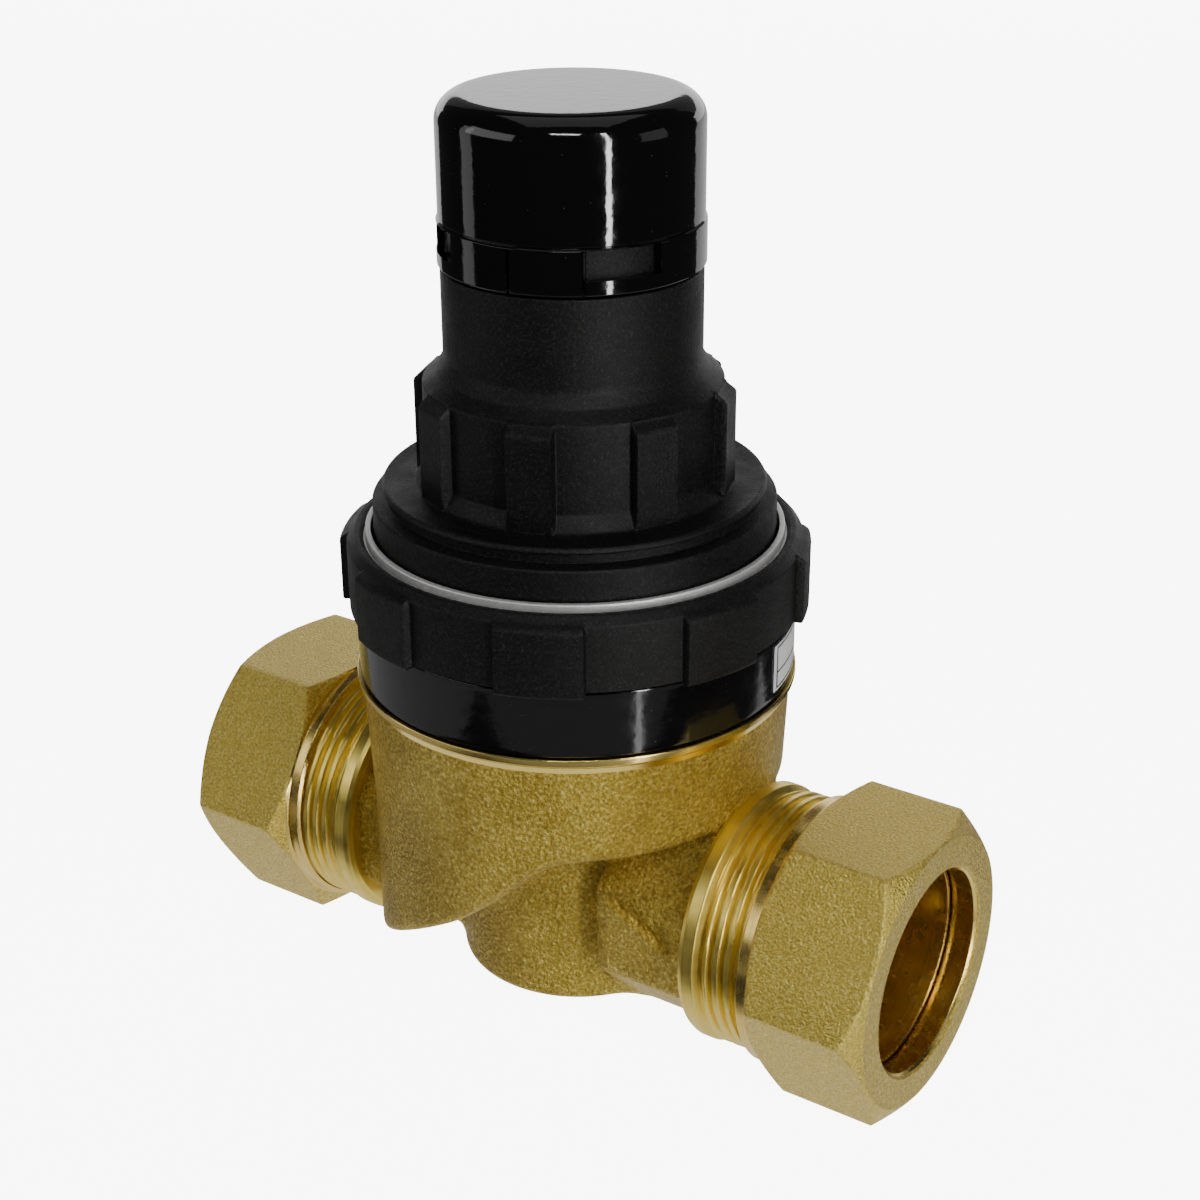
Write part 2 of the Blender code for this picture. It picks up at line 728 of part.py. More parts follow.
def adjusting_gear():
    screw = turned(
        "adjusting_screw",
        [
            (0.0, SCREW_TOP),
            (SCREW_R - 0.7, SCREW_TOP),
            (SCREW_R, SCREW_TOP - 0.7),
            (SCREW_R, SCREW_THREAD_LOW),
            (SCREW_NOSE_R, SCREW_THREAD_LOW),
            (SCREW_NOSE_R, SCREW_LOW),
            (0.0, SCREW_LOW),
        ],
        COARSE,
        STEM_BRASS,
        closed=False,
    )
    socket = plate("screw_key", polygon(SCREW_KEY_AF, 6, 0), SCREW_TOP - SCREW_KEY_DEPTH, SCREW_TOP + 1)
    cut(screw, socket)
    turned(
        "upper_spring_plate",
        [
            (0.0, PLATE_TOP),
            (PLATE_R, PLATE_TOP),
            (PLATE_R, PLATE_LOW),
            (PLATE_SPIGOT_R, PLATE_LOW),
            (PLATE_SPIGOT_R - 0.6, PLATE_LOW - PLATE_SPIGOT),
            (0.0, PLATE_LOW - PLATE_SPIGOT),
        ],
        COARSE,
        STEEL,
        closed=False,
    )
    turned(
        "spring_cup",
        [
            (CUP_RIM_INNER_R, CUP_RIM),
            (CUP_RIM_INNER_R + 1.2, CUP_RIM),
            (CUP_RIM_INNER_R + 1.4, CUP_FLOOR),
            (CUP_R, CUP_FLOOR - 0.4),
            (CUP_R, CUP_LOW),
            (STEM_HOLE_R, CUP_LOW),
            (STEM_HOLE_R, CUP_FLOOR),
            (CUP_RIM_INNER_R, CUP_FLOOR),
        ],
        COARSE,
        STEEL,
    )
    nut = plate("stem_nut", polygon(STEM_NUT_AF, 6, 0), STEM_NUT_LOW, STEM_NUT_TOP, STEEL)
    cut(nut, drum("stem_nut_hole", STEM_HOLE_R, STEM_NUT_LOW - 1, STEM_NUT_TOP + 1, TINY))


def adjusting_spring():
    """A coil whose first and last turns lie flat, so its pitch eases in and out."""
    curve = bpy.data.curves.new("adjusting_spring", "CURVE")
    curve.dimensions = "3D"
    curve.bevel_depth = SPRING_WIRE_R * MM
    curve.bevel_resolution = 2
    curve.use_fill_caps = True
    count = int(SPRING_TURNS * SPRING_POINTS_A_TURN) + 1
    low = SPRING_LOW + SPRING_WIRE_R
    high = SPRING_TOP - SPRING_WIRE_R
    closed_pitch = 2 * SPRING_WIRE_R * 1.08
    open_turns = SPRING_TURNS - 2
    open_pitch = (high - low - 2 * closed_pitch * 0.75) / (open_turns + 0.5)
    heights = [low]
    for i in range(1, count):
        turn = (i - 0.5) / SPRING_POINTS_A_TURN
        at_end = turn < 0.75 or turn > SPRING_TURNS - 0.75
        heights.append(heights[-1] + (closed_pitch if at_end else open_pitch) / SPRING_POINTS_A_TURN)
    spline = curve.splines.new("POLY")
    spline.points.add(count - 1)
    stretch = (high - low) / (heights[-1] - low)
    for i, point in enumerate(spline.points):
        x, y = polar(SPRING_MEAN_R, 360 * i / SPRING_POINTS_A_TURN)
        point.co = (x * MM, y * MM, (low + (heights[i] - low) * stretch) * MM, 1.0)
    place(bpy.data.objects.new("adjusting_spring", curve), SPRING_STEEL)


def diaphragm():
    """A rubber disc with one rolled corrugation between the plates and the clamped rim."""
    top = DIAPHRAGM_LOW + DIAPHRAGM_THICKNESS
    low = DIAPHRAGM_LOW
    inner = ROLL_R - ROLL_HALF_WIDTH
    outer = ROLL_R + ROLL_HALF_WIDTH
    roll_top = [(ROLL_R + ROLL_HALF_WIDTH * 0.6, top - ROLL_DEPTH), (ROLL_R - ROLL_HALF_WIDTH * 0.6, top - ROLL_DEPTH)]
    turned(
        "diaphragm",
        [
            (STEM_HOLE_R, top),
            (inner + 0.3, top),
            *roll_top[::-1],
            (outer - 0.3, top),
            (DIAPHRAGM_R, top),
            (DIAPHRAGM_R, low),
            (outer, low),
            (roll_top[0][0] + 0.4, low - ROLL_DEPTH),
            (roll_top[1][0] - 0.4, low - ROLL_DEPTH),
            (inner, low),
            (STEM_HOLE_R, low),
        ],
        COARSE,
        RUBBER,
    )
    ring("lower_diaphragm_plate", STEM_HOLE_R, LOWER_PLATE_R, LOWER_PLATE_LOW, LOWER_PLATE_TOP, COARSE, STEM_BRASS)


def stem_and_disc():
    stem = turned(
        "valve_stem",
        [
            (0.0, STEM_TOP),
            (STEM_TOP_R, STEM_TOP),
            (STEM_TOP_R, STEM_COLLAR_TOP),
            (STEM_COLLAR_R, STEM_COLLAR_TOP),
            (STEM_COLLAR_R, STEM_COLLAR_LOW),
            (STEM_R, STEM_COLLAR_LOW),
            (STEM_R, DISC_RIM_TOP + 1.5),
            (STEM_R + 0.8, DISC_RIM_TOP + 1.5),
            (STEM_R + 0.8, STEM_LOW + 0.2),
            (0.0, STEM_LOW + 0.2),
        ],
        COARSE,
        STEM_BRASS,
        closed=False,
    )
    cross_hole = along_pipe(drum("sensing_cross_hole", SENSING_HOLE_R, -8.0, 8.0, TINY), 1)
    cross_hole.location.z = (STEM_COLLAR_LOW - 0.2 - SENSING_HOLE_R) * MM
    cut(stem, drum("sensing_hole", SENSING_HOLE_R, DISC_LOW - 5, STEM_COLLAR_LOW - 1.0, TINY), cross_hole)
    turned(
        "disc_holder",
        [
            (DISC_R - 0.2, DISC_RIM_TOP),
            (DISC_R, DISC_RIM_TOP - 0.2),
            (DISC_R, DISC_LOW + 0.6),
            (DISC_R - 0.6, DISC_LOW),
            (STEM_HOLE_R, DISC_LOW),
            (STEM_HOLE_R, DISC_SHELF),
            (SEAT_WASHER_R + 0.2, DISC_SHELF),
            (SEAT_WASHER_R + 0.2, DISC_RIM_TOP),
        ],
        COARSE,
        STEM_BRASS,
    )
    ring("seat_washer", SEAT_WASHER_HOLE_R, SEAT_WASHER_R, SEAT_WASHER_LOW, SEAT_WASHER_TOP, COARSE, RUBBER)
    disc_screw = turned(
        "disc_retaining_screw",
        [
            (STEM_TOP_R, STEM_LOW - 0.1),
            (STEM_TOP_R, DISC_LOW - GAP),
            (DISC_SCREW_R, DISC_LOW - GAP),
            (DISC_SCREW_R, DISC_SCREW_LOW),
            (SENSING_HOLE_R, DISC_SCREW_LOW),
            (SENSING_HOLE_R, STEM_LOW - 0.1),
        ],
        TINY,
        STEEL,
    )
    slot = block("disc_screw_slot", (10, 0.9, 0.9), (0, 0, DISC_SCREW_LOW))
    cut(disc_screw, slot)


def cartridge():
    housing = turned(
        "cartridge_housing",
        [
            (STEM_GUIDE_BORE_R, STEM_GUIDE_TOP),
            (STEM_GUIDE_R, STEM_GUIDE_TOP),
            (STEM_GUIDE_R, CARTRIDGE_FLANGE_TOP),
            (CARTRIDGE_R, CARTRIDGE_FLANGE_TOP),
            (CARTRIDGE_R, UPPER_SEAL_Z + SEAL_GROOVE / 2),
            (UPPER_SEAL_R - UPPER_SEAL_WIRE_R - 0.1, UPPER_SEAL_Z + SEAL_GROOVE / 2),
            (UPPER_SEAL_R - UPPER_SEAL_WIRE_R - 0.1, UPPER_SEAL_Z - SEAL_GROOVE / 2),
            (CARTRIDGE_R, UPPER_SEAL_Z - SEAL_GROOVE / 2),
            (CARTRIDGE_R, CARTRIDGE_FLANGE_LOW),
            (CAGE_R, CARTRIDGE_FLANGE_LOW),
            (CAGE_R, CAGE_LOW),
            (SEAT_TUBE_R, CAGE_LOW),
            (SEAT_TUBE_R, LOWER_SEAL_Z + SEAL_GROOVE / 2),
            (LOWER_SEAL_R - LOWER_SEAL_WIRE_R - 0.1, LOWER_SEAL_Z + SEAL_GROOVE / 2),
            (LOWER_SEAL_R - LOWER_SEAL_WIRE_R - 0.1, LOWER_SEAL_Z - SEAL_GROOVE / 2),
            (SEAT_TUBE_R, LOWER_SEAL_Z - SEAL_GROOVE / 2),
            (SEAT_TUBE_R, SEAT_LIP + 1.5),
            (SEAT_HOLE_R + 0.6, SEAT_LIP),
            (SEAT_HOLE_R, SEAT_LIP),
            (SEAT_HOLE_R, CAGE_LOW),
            (CAGE_INNER_R, CAGE_LOW),
            (CAGE_INNER_R, STEM_GUIDE_LOW),
            (STEM_GUIDE_BORE_R, STEM_GUIDE_LOW),
            (STEM_GUIDE_BORE_R, STEM_SEAL_Z - SEAL_GROOVE / 2),
            (STEM_SEAL_R + STEM_SEAL_WIRE_R + 0.1, STEM_SEAL_Z - SEAL_GROOVE / 2),
            (STEM_SEAL_R + STEM_SEAL_WIRE_R + 0.1, STEM_SEAL_Z + SEAL_GROOVE / 2),
            (STEM_GUIDE_BORE_R, STEM_SEAL_Z + SEAL_GROOVE / 2),
        ],
        COARSE,
        ACETAL,
    )
    window_height = CAGE_WINDOW_TOP - CAGE_WINDOW_LOW
    middle = (CAGE_WINDOW_LOW + CAGE_WINDOW_TOP) / 2
    for index in range(2):
        size = (3 * CAGE_R, CAGE_WINDOW_WIDTH, window_height)
        cut(housing, block(f"cage_window_{index}", size, (0, 0, middle), 90 * index))
    ring("strainer", STRAINER_R - STRAINER_THICKNESS, STRAINER_R, STRAINER_LOW, STRAINER_TOP, COARSE, STEEL)
    o_ring("cartridge_upper_o_ring", UPPER_SEAL_R, UPPER_SEAL_WIRE_R, UPPER_SEAL_Z)
    o_ring("cartridge_lower_o_ring", LOWER_SEAL_R, LOWER_SEAL_WIRE_R, LOWER_SEAL_Z)
    o_ring("stem_o_ring", STEM_SEAL_R, STEM_SEAL_WIRE_R, STEM_SEAL_Z)


def smooth_flat_shading():
    for obj in PARTS.objects:
        if obj.type == "MESH":
            obj.data.shade_smooth()
            obj.data.set_sharp_from_angle(angle=math.radians(35))


valve_body()
compression_end(1, "outlet")
compression_end(-1, "inlet")
band_and_label()
ring_nut_and_washer()
spring_bonnet()
tamper_cap()
adjusting_gear()
adjusting_spring()
diaphragm()
stem_and_disc()
cartridge()
smooth_flat_shading()
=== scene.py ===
"""The looks of a compact pressure reducing valve with 22 mm compression ends.

Lengths here are in millimetres about the pipe axis: X along the pipe towards the outlet, Z up the spindle.
Sizes shared with the CAD model are read from its nodes' boxes, and the rest are details of the surface.
"""

import math

import bmesh
import bpy
import numpy as np
from mathutils import Matrix, Vector


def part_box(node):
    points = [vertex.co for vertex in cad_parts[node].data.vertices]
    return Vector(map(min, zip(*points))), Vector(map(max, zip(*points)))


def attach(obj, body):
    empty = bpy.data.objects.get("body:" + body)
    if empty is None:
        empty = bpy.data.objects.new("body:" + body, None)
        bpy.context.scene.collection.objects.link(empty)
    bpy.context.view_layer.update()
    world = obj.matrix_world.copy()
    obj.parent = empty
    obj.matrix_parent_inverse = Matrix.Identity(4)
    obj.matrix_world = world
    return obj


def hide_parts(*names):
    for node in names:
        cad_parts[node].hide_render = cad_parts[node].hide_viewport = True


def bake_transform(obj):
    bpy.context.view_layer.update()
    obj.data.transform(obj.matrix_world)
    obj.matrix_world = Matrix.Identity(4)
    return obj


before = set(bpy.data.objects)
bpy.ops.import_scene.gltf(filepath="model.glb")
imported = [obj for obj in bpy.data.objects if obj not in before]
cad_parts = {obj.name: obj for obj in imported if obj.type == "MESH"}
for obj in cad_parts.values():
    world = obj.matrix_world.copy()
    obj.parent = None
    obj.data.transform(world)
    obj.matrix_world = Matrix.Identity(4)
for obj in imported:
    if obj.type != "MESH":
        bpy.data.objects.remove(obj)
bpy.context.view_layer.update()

MM = 0.001


# --- sizes read from the frame ---------------------------------------------------------------------------


def node_box(node):
    """Lowest and highest corners of a CAD node in millimetres about the pipe axis."""
    low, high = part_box(node)
    shift = np.array((0.0, 0.0, PIPE_HEIGHT))
    return np.array(low) / MM - shift, np.array(high) / MM - shift


def heights(node):
    low, high = node_box(node)
    return float(low[2]), float(high[2])


def radius(node):
    low, high = node_box(node)
    return float(high[0] - low[0]) / 2


def along_x(node):
    low, high = node_box(node)
    return sorted((abs(float(low[0])), abs(float(high[0]))))


NUT_LOW, NUT_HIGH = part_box("outlet_compression_nut")
PIPE_HEIGHT = float(NUT_LOW[2] + NUT_HIGH[2]) / 2 / MM
NUT_AF = float(NUT_HIGH[2] - NUT_LOW[2]) / MM
NUT_START, NUT_FACE = along_x("outlet_compression_nut")
BODY_END = along_x("valve_body")[1]
BODY_TOP = heights("valve_body")[1]
BAND_LOW, BAND_TOP = heights("identification_band")
BAND_R = radius("identification_band")
RING_NUT_TOP = heights("union_ring_nut")[1]
BONNET_LOW, BONNET_TOP = heights("spring_bonnet")
CAP_LOW, CAP_TOP = heights("tamper_cap")
CAP_SKIRT_R = radius("tamper_cap")
SCREW_LOW, SCREW_TOP = heights("adjusting_screw")
SPRING_LOW, SPRING_TOP = heights("adjusting_spring")


# --- meshes ----------------------------------------------------------------------------------------------

SHARP_ANGLE = math.radians(40)
MERGE_DISTANCE = 0.0005
CORNER_SHARE = 0.49
PULLS = 3
LEAST_SLOPE = 0.25


def finish_mesh(name, mesh, material, body, slot):
    """Puts the mesh at the pipe axis in metres, smooth shaded, with its material. The slot is not used. It
    rides on a body of the CAD model, unless that is None."""
    mesh.transform(Matrix.Translation((0, 0, PIPE_HEIGHT * MM)) @ Matrix.Scale(MM, 4))
    mesh.shade_smooth()
    mesh.set_sharp_from_angle(angle=SHARP_ANGLE)
    obj = bpy.data.objects.new(name, mesh)
    bpy.context.scene.collection.objects.link(obj)
    obj.data.materials.append(material)
    if body is not None:
        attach(obj, body)
    return obj


def soften(points, closed=True, steps=5):
    """Rounds the corners of an outline. A point is (a, b) or (a, b, corner radius), and a corner takes up
    less than half of the sides beside it."""
    count = len(points)
    out = []
    for i, point in enumerate(points):
        here = Vector(point[:2])
        size = point[2] if len(point) > 2 else 0.0
        if size <= 0 or (not closed and i in (0, count - 1)):
            out.append(tuple(here))
            continue
        before = Vector(points[i - 1][:2]) - here
        after = Vector(points[(i + 1) % count][:2]) - here
        bend = before.angle(after)
        reach = min(size / math.tan(bend / 2), before.length * CORNER_SHARE, after.length * CORNER_SHARE)
        start = here + before.normalized() * reach
        end = here + after.normalized() * reach
        for k in range(steps + 1):
            t = k / steps
            out.append(tuple(start * (1 - t) ** 2 + here * (2 * t * (1 - t)) + end * t**2))
    return out


def subdivide(points, step, closed=True):
    """Adds points so that no stretch of the outline is longer than the step."""
    out = []
    count = len(points)
    for i in range(count if closed else count - 1):
        a, b = Vector(points[i]), Vector(points[(i + 1) % count])
        pieces = max(1, math.ceil((b - a).length / step))
        out += [tuple(a.lerp(b, k / pieces)) for k in range(pieces)]
    if not closed:
        out.append(tuple(points[-1]))
    return out


def lathe_mesh(name, points, steps=192, closed=True, shape=None, along_pipe=0):
    """An outline of (radius, height) points swept round the axis. shape(radius, height, angle) gives the
    radius that each point has at each angle. along_pipe 1 or -1 lays the axis on +X or -X."""
    profile = np.array(points)
    angles = np.arange(steps) * 2 * math.pi / steps
    r = np.repeat(profile[:, :1], steps, axis=1)
    z = np.repeat(profile[:, 1:], steps, axis=1)
    a = np.repeat(angles[None, :], len(profile), axis=0)
    if shape is not None:
        r = np.where(r > 0, shape(r, z, a), r)
    verts = np.stack([r * np.cos(a), r * np.sin(a), z], axis=-1).reshape(-1, 3)
    if along_pipe:
        verts = np.stack([along_pipe * verts[:, 2], verts[:, 1], -along_pipe * verts[:, 0]], axis=-1)
    rows = len(profile)
    i = np.arange(rows if closed else rows - 1)
    j = np.arange(steps)
    ii, jj = np.meshgrid(i, j, indexing="ij")
    next_row = (ii + 1) % rows
    next_col = (jj + 1) % steps
    faces = np.stack(
        [ii * steps + jj, next_row * steps + jj, next_row * steps + next_col, ii * steps + next_col], axis=-1
    ).reshape(-1, 4)
    mesh = bpy.data.meshes.new(name)
    mesh.from_pydata(verts.tolist(), [], faces.tolist())
    tidy_mesh(mesh)
    return mesh


def tidy_mesh(mesh):
    """Merges the points on the axis and turns every face outwards."""
    work = bmesh.new()
    work.from_mesh(mesh)
    bmesh.ops.remove_doubles(work, verts=work.verts, dist=MERGE_DISTANCE)
    bmesh.ops.recalc_face_normals(work, faces=work.faces)
    work.to_mesh(mesh)
    work.free()


def lathe(name, points, material, body, slot, **options):
    return finish_mesh(name, lathe_mesh(name, points, **options), material, body, slot)


def smooth_min(a, b, width):
    """The smaller of two distances, blended over this width where they are close."""
    h = np.clip(0.5 + 0.5 * (b - a) / width, 0.0, 1.0)
    return b + (a - b) * h - width * h * (1.0 - h)


def smooth_max(a, b, width):
    return -smooth_min(-a, -b, width)


def smooth_step(x, start, end):
    t = np.clip((x - start) / (end - start), 0.0, 1.0)
    return t * t * (3.0 - 2.0 * t)


def between(x, start, full, fading, end):
    """1 from full to fading, and eased to 0 at start and at end."""
    return smooth_step(x, start, full) * (1.0 - smooth_step(x, fading, end))


def thread_height(along, angle, pitch, root, crest, hand=1):
    """Height of a screw thread, 0 to 1. It is 0 further than root from a tooth's middle, and 1 nearer than
    crest, in turns. hand 1 winds up the axis with the angle, and -1 winds down it."""
    phase = (along / pitch - hand * angle / (2 * math.pi)) % 1.0
    return smooth_step(np.abs(phase - 0.5), root, crest)


def from_nearest(angle, count, first=0.0):
    """Angle from the nearest of this many even directions, the first of which is at first."""
    turn = 2 * math.pi / count
    return (angle - first + turn / 2) % turn - turn / 2


def surface_of(field, low, high, cell):
    """A quad mesh of the surface where field(x, y, z) is zero: surface nets, then pulled onto the surface."""
    counts = [int(math.ceil((high[k] - low[k]) / cell)) + 1 for k in range(3)]
    axes = [low[k] + cell * np.arange(counts[k]) for k in range(3)]
    gx, gy, gz = np.meshgrid(*axes, indexing="ij")
    value = field(gx, gy, gz)
    inside = value < 0
    total = np.zeros([c - 1 for c in counts] + [3])
    crossings = np.zeros([c - 1 for c in counts])
    corners = [(i, j, k) for i in (0, 1) for j in (0, 1) for k in (0, 1)]
    window = [slice(0, c - 1) for c in counts]

    def shifted(array, offset):
        return array[tuple(slice(o, o + w.stop) for o, w in zip(offset, window))]

    for a in corners:
        for axis in range(3):
            if a[axis]:
                continue
            b = tuple(1 if n == axis else a[n] for n in range(3))
            va, vb = shifted(value, a), shifted(value, b)
            crosses = (va < 0) != (vb < 0)
            t = np.where(crosses, va / np.where(crosses, va - vb, 1.0), 0.0)
            for n in range(3):
                total[..., n] += np.where(crosses, a[n] + (t if n == axis else 0.0), 0.0)
            crossings += crosses
    used = crossings > 0
    index = -np.ones(used.shape, dtype=np.int64)
    index[used] = np.arange(used.sum())
    cells = np.argwhere(used)
    verts = (cells + total[used] / crossings[used][:, None]) * cell + np.array(low)
    quads = []
    for axis in range(3):
        u, v = (axis + 1) % 3, (axis + 2) % 3
        size = [c - 1 if n == axis else c - 2 for n, c in enumerate(counts)]
        start = [0 if n == axis else 1 for n in range(3)]

        def part(array, back_u, back_v, ahead=0):
            """The array at each grid edge along axis, moved back by these cells."""
            cut = []
            for n in range(3):
                o = start[n] - (back_u if n == u else 0) - (back_v if n == v else 0)
                o += ahead if n == axis else 0
                cut.append(slice(o, o + size[n]))
            return array[tuple(cut)]

        first, second = part(inside, 0, 0), part(inside, 0, 0, 1)
        crosses = first != second
        ring = [part(index, 1, 1), part(index, 0, 1), part(index, 0, 0), part(index, 1, 0)]
        ring = np.stack([q[crosses] for q in ring], axis=-1)
        ring[~first[crosses]] = ring[~first[crosses]][:, ::-1]
        quads.append(ring)
    verts = pulled_on(field, verts, cell)
    return verts, np.concatenate(quads)


def pulled_on(field, verts, cell):
    """Moves points onto the surface along the field's slope."""
    reach = cell / 8
    for _ in range(PULLS):
        x, y, z = verts.T
        here = field(x, y, z)
        slope = np.stack(
            [
                field(x + reach, y, z) - field(x - reach, y, z),
                field(x, y + reach, z) - field(x, y - reach, z),
                field(x, y, z + reach) - field(x, y, z - reach),
            ],
            axis=-1,
        ) / (2 * reach)
        size = np.maximum((slope**2).sum(axis=-1), LEAST_SLOPE)
        step = np.clip(here / size, -cell / 2, cell / 2)
        verts = verts - slope * step[:, None]
    return verts


# --- materials -------------------------------------------------------------------------------------------

NOISE_LOW = 0.3
NOISE_HIGH = 0.7


class Shader:
    """A Principled material whose colour, roughness and bump come from nodes in millimetres."""

    def __init__(self, name, **values):
        self.material = bpy.data.materials.new(name)
        self.material.use_nodes = True
        self.tree = self.material.node_tree
        self.principled = self.tree.nodes["Principled BSDF"]
        for key, value in values.items():
            self.principled.inputs[key.replace("_", " ")].default_value = value
        self.position = self.node("ShaderNodeVectorMath", operation="SCALE")
        self.position.inputs["Scale"].default_value = 1.0 / MM
        self.link(self.node("ShaderNodeTexCoord").outputs["Object"], self.position.inputs[0])
        self.normal = None

    def node(self, kind, **values):
        made = self.tree.nodes.new(kind)
        for key, value in values.items():
            setattr(made, key, value)
        return made

    def link(self, output, socket):
        self.tree.links.new(output, socket)

    def stretched(self, x, y, z):
        """The position with each axis scaled, for grain that runs one way."""
        scaled = self.node("ShaderNodeVectorMath", operation="MULTIPLY")
        scaled.inputs[1].default_value = (x, y, z)
        self.link(self.position.outputs[0], scaled.inputs[0])
        return scaled.outputs[0]

    def noise(self, scale, detail=2.0, roughness=0.5, vector=None):
        made = self.node("ShaderNodeTexNoise")
        made.inputs["Scale"].default_value = scale
        made.inputs["Detail"].default_value = detail
        made.inputs["Roughness"].default_value = roughness
        self.link(vector or self.position.outputs[0], made.inputs["Vector"])
        return made.outputs["Fac"]

    def cells(self, scale, feature="F1", vector=None):
        made = self.node("ShaderNodeTexVoronoi", feature=feature)
        made.inputs["Scale"].default_value = scale
        self.link(vector or self.position.outputs[0], made.inputs["Vector"])
        return made.outputs["Distance"]

    def ramp(self, value, stops):
        """Colours at places along 0 to 1: stops are (place, (r, g, b)) or (place, grey)."""
        made = self.node("ShaderNodeValToRGB")
        elements = made.color_ramp.elements
        while len(elements) < len(stops):
            elements.new(1.0)
        for element, (place, colour) in zip(elements, stops):
            element.position = place
            rgb = colour if isinstance(colour, tuple) else (colour, colour, colour)
            element.color = (*rgb, 1.0)
        self.link(value, made.inputs["Fac"])
        return made.outputs["Color"]

    def spread(self, noise, low, high):
        """Two colours or greys over the middle of a noise, where most of it lies."""
        return self.ramp(noise, [(NOISE_LOW, low), (NOISE_HIGH, high)])

    def tinted(self, colour, tint):
        made = self.node("ShaderNodeMix", data_type="RGBA", blend_type="MULTIPLY")
        made.inputs["Factor"].default_value = 1.0
        self.link(colour, made.inputs["A"])
        self.link(tint, made.inputs["B"])
        return made.outputs["Result"]

    def bump(self, height, depth, strength=1.0):
        """Adds a bump whose full height is this many millimetres."""
        made = self.node("ShaderNodeBump")
        made.inputs["Strength"].default_value = strength
        made.inputs["Distance"].default_value = depth * MM
        self.link(height, made.inputs["Height"])
        if self.normal is not None:
            self.link(self.normal, made.inputs["Normal"])
        self.normal = made.outputs["Normal"]
        self.link(self.normal, self.principled.inputs["Normal"])

    def set(self, key, output):
        self.link(output, self.principled.inputs[key])


def cast_brass():
    """Sand-cast and shot-blasted brass: a coarse grain, coloured darker and olive in its pits as painted
    shade and pale on its peaks as painted glints.
    """
    s = Shader("cast_brass", Metallic=1.0)
    grain = s.noise(2.7, detail=3.0, roughness=0.65)
    patches = s.noise(0.13, detail=3.0)
    # Painted shade and glints: the grain's low values, the pits of its bump, are darker and olive, and its
    # high values are pale painted glints.
    tones = [(0.34, (0.44, 0.31, 0.048)), (0.52, (0.66, 0.475, 0.086)), (0.68, (0.98, 0.80, 0.24))]
    colour = s.ramp(grain, tones)
    tint = s.ramp(patches, [(0.36, (0.80, 0.77, 0.68)), (0.62, (1.0, 1.0, 1.0))])
    s.set("Base Color", s.tinted(colour, tint))
    s.set("Roughness", s.spread(s.noise(1.3, detail=2.0), 0.31, 0.42))
    s.bump(s.cells(1.9), 0.14, 1.0)
    s.bump(grain, 0.42, 1.0)
    return s.material


def nut_brass():
    """Shot-blasted nut: a finer, paler grain than the body, coloured darker in its pits as painted shade and
    pale on its peaks as painted glints.
    """
    s = Shader("nut_brass", Metallic=1.0)
    grain = s.noise(3.7, detail=3.0, roughness=0.62)
    # Painted shade and glints: darker where the grain's bump dips, pale painted glints where it rises.
    tones = [(0.34, (0.60, 0.44, 0.080)), (0.52, (0.82, 0.61, 0.130)), (0.68, (1.0, 0.84, 0.28))]
    s.set("Base Color", s.ramp(grain, tones))
    s.set("Roughness", s.spread(s.noise(0.8), 0.31, 0.41))
    s.bump(s.cells(2.9), 0.06, 1.0)
    s.bump(grain, 0.22, 1.0)
    return s.material


def turned_brass(name, colour, roughness, axis, lines=9.0, depth=0.012):
    """Machined brass with fine turning lines round its axis, "x" or "z"."""
    s = Shader(name, Metallic=1.0)
    drawn_out = 0.02
    stretch = (lines, drawn_out, drawn_out) if axis == "x" else (drawn_out, drawn_out, lines)
    grooves = s.noise(1.0, detail=2.0, roughness=0.6, vector=s.stretched(*stretch))
    dark = tuple(c * 0.88 for c in colour)
    s.set("Base Color", s.ramp(grooves, [(0.35, dark), (0.62, colour)]))
    s.set("Roughness", s.spread(s.noise(0.7), roughness * 0.85, roughness * 1.2))
    s.bump(grooves, depth, 0.6)
    return s.material


def black_nylon():
    """Moulded nylon: satin black with a fine grain and paler specks."""
    s = Shader("black_nylon", Metallic=0.0)
    s.principled.inputs["Specular IOR Level"].default_value = 0.28
    speck = s.noise(4.0, detail=2.0, roughness=0.7)
    tones = [(0.42, (0.0012, 0.0014, 0.0012)), (0.60, (0.007, 0.0075, 0.007)), (0.76, (0.028, 0.030, 0.028))]
    s.set("Base Color", s.ramp(speck, tones))
    s.set("Roughness", s.spread(s.noise(0.35), 0.44, 0.54))
    s.bump(s.noise(3.4, detail=3.0, roughness=0.65), 0.09, 1.0)
    return s.material


def gloss_black(name, roughness):
    """Polished black moulding with a slight ripple and a few specks of dust."""
    s = Shader(name, Metallic=0.0)
    s.principled.inputs["Coat Weight"].default_value = 0.25
    s.principled.inputs["Coat Roughness"].default_value = 0.03
    dust = s.cells(0.9)
    s.set("Base Color", s.ramp(dust, [(0.025, (0.12, 0.12, 0.12)), (0.04, (0.003, 0.003, 0.0035))]))
    s.set("Roughness", s.spread(s.noise(0.5), roughness * 0.7, roughness * 1.4))
    s.bump(s.noise(0.8, detail=2.0), 0.05, 0.35)
    return s.material


def bright_steel():
    """Stainless steel with a brushed grain."""
    s = Shader("bright_steel", Metallic=0.6)
    brushed = s.noise(2.0, detail=2.0, vector=s.stretched(1.0, 1.0, 8.0))
    s.set("Base Color", s.spread(brushed, (0.80, 0.80, 0.78), (0.96, 0.96, 0.94)))
    s.set("Roughness", s.spread(s.noise(1.1), 0.36, 0.48))
    s.bump(brushed, 0.01, 0.5)
    return s.material


def spring_steel():
    s = Shader("spring_steel", Metallic=1.0)
    drawn = s.noise(1.4, detail=3.0)
    s.set("Base Color", s.spread(drawn, (0.20, 0.20, 0.21), (0.42, 0.42, 0.43)))
    s.set("Roughness", s.spread(drawn, 0.25, 0.40))
    s.bump(drawn, 0.02, 0.4)
    return s.material


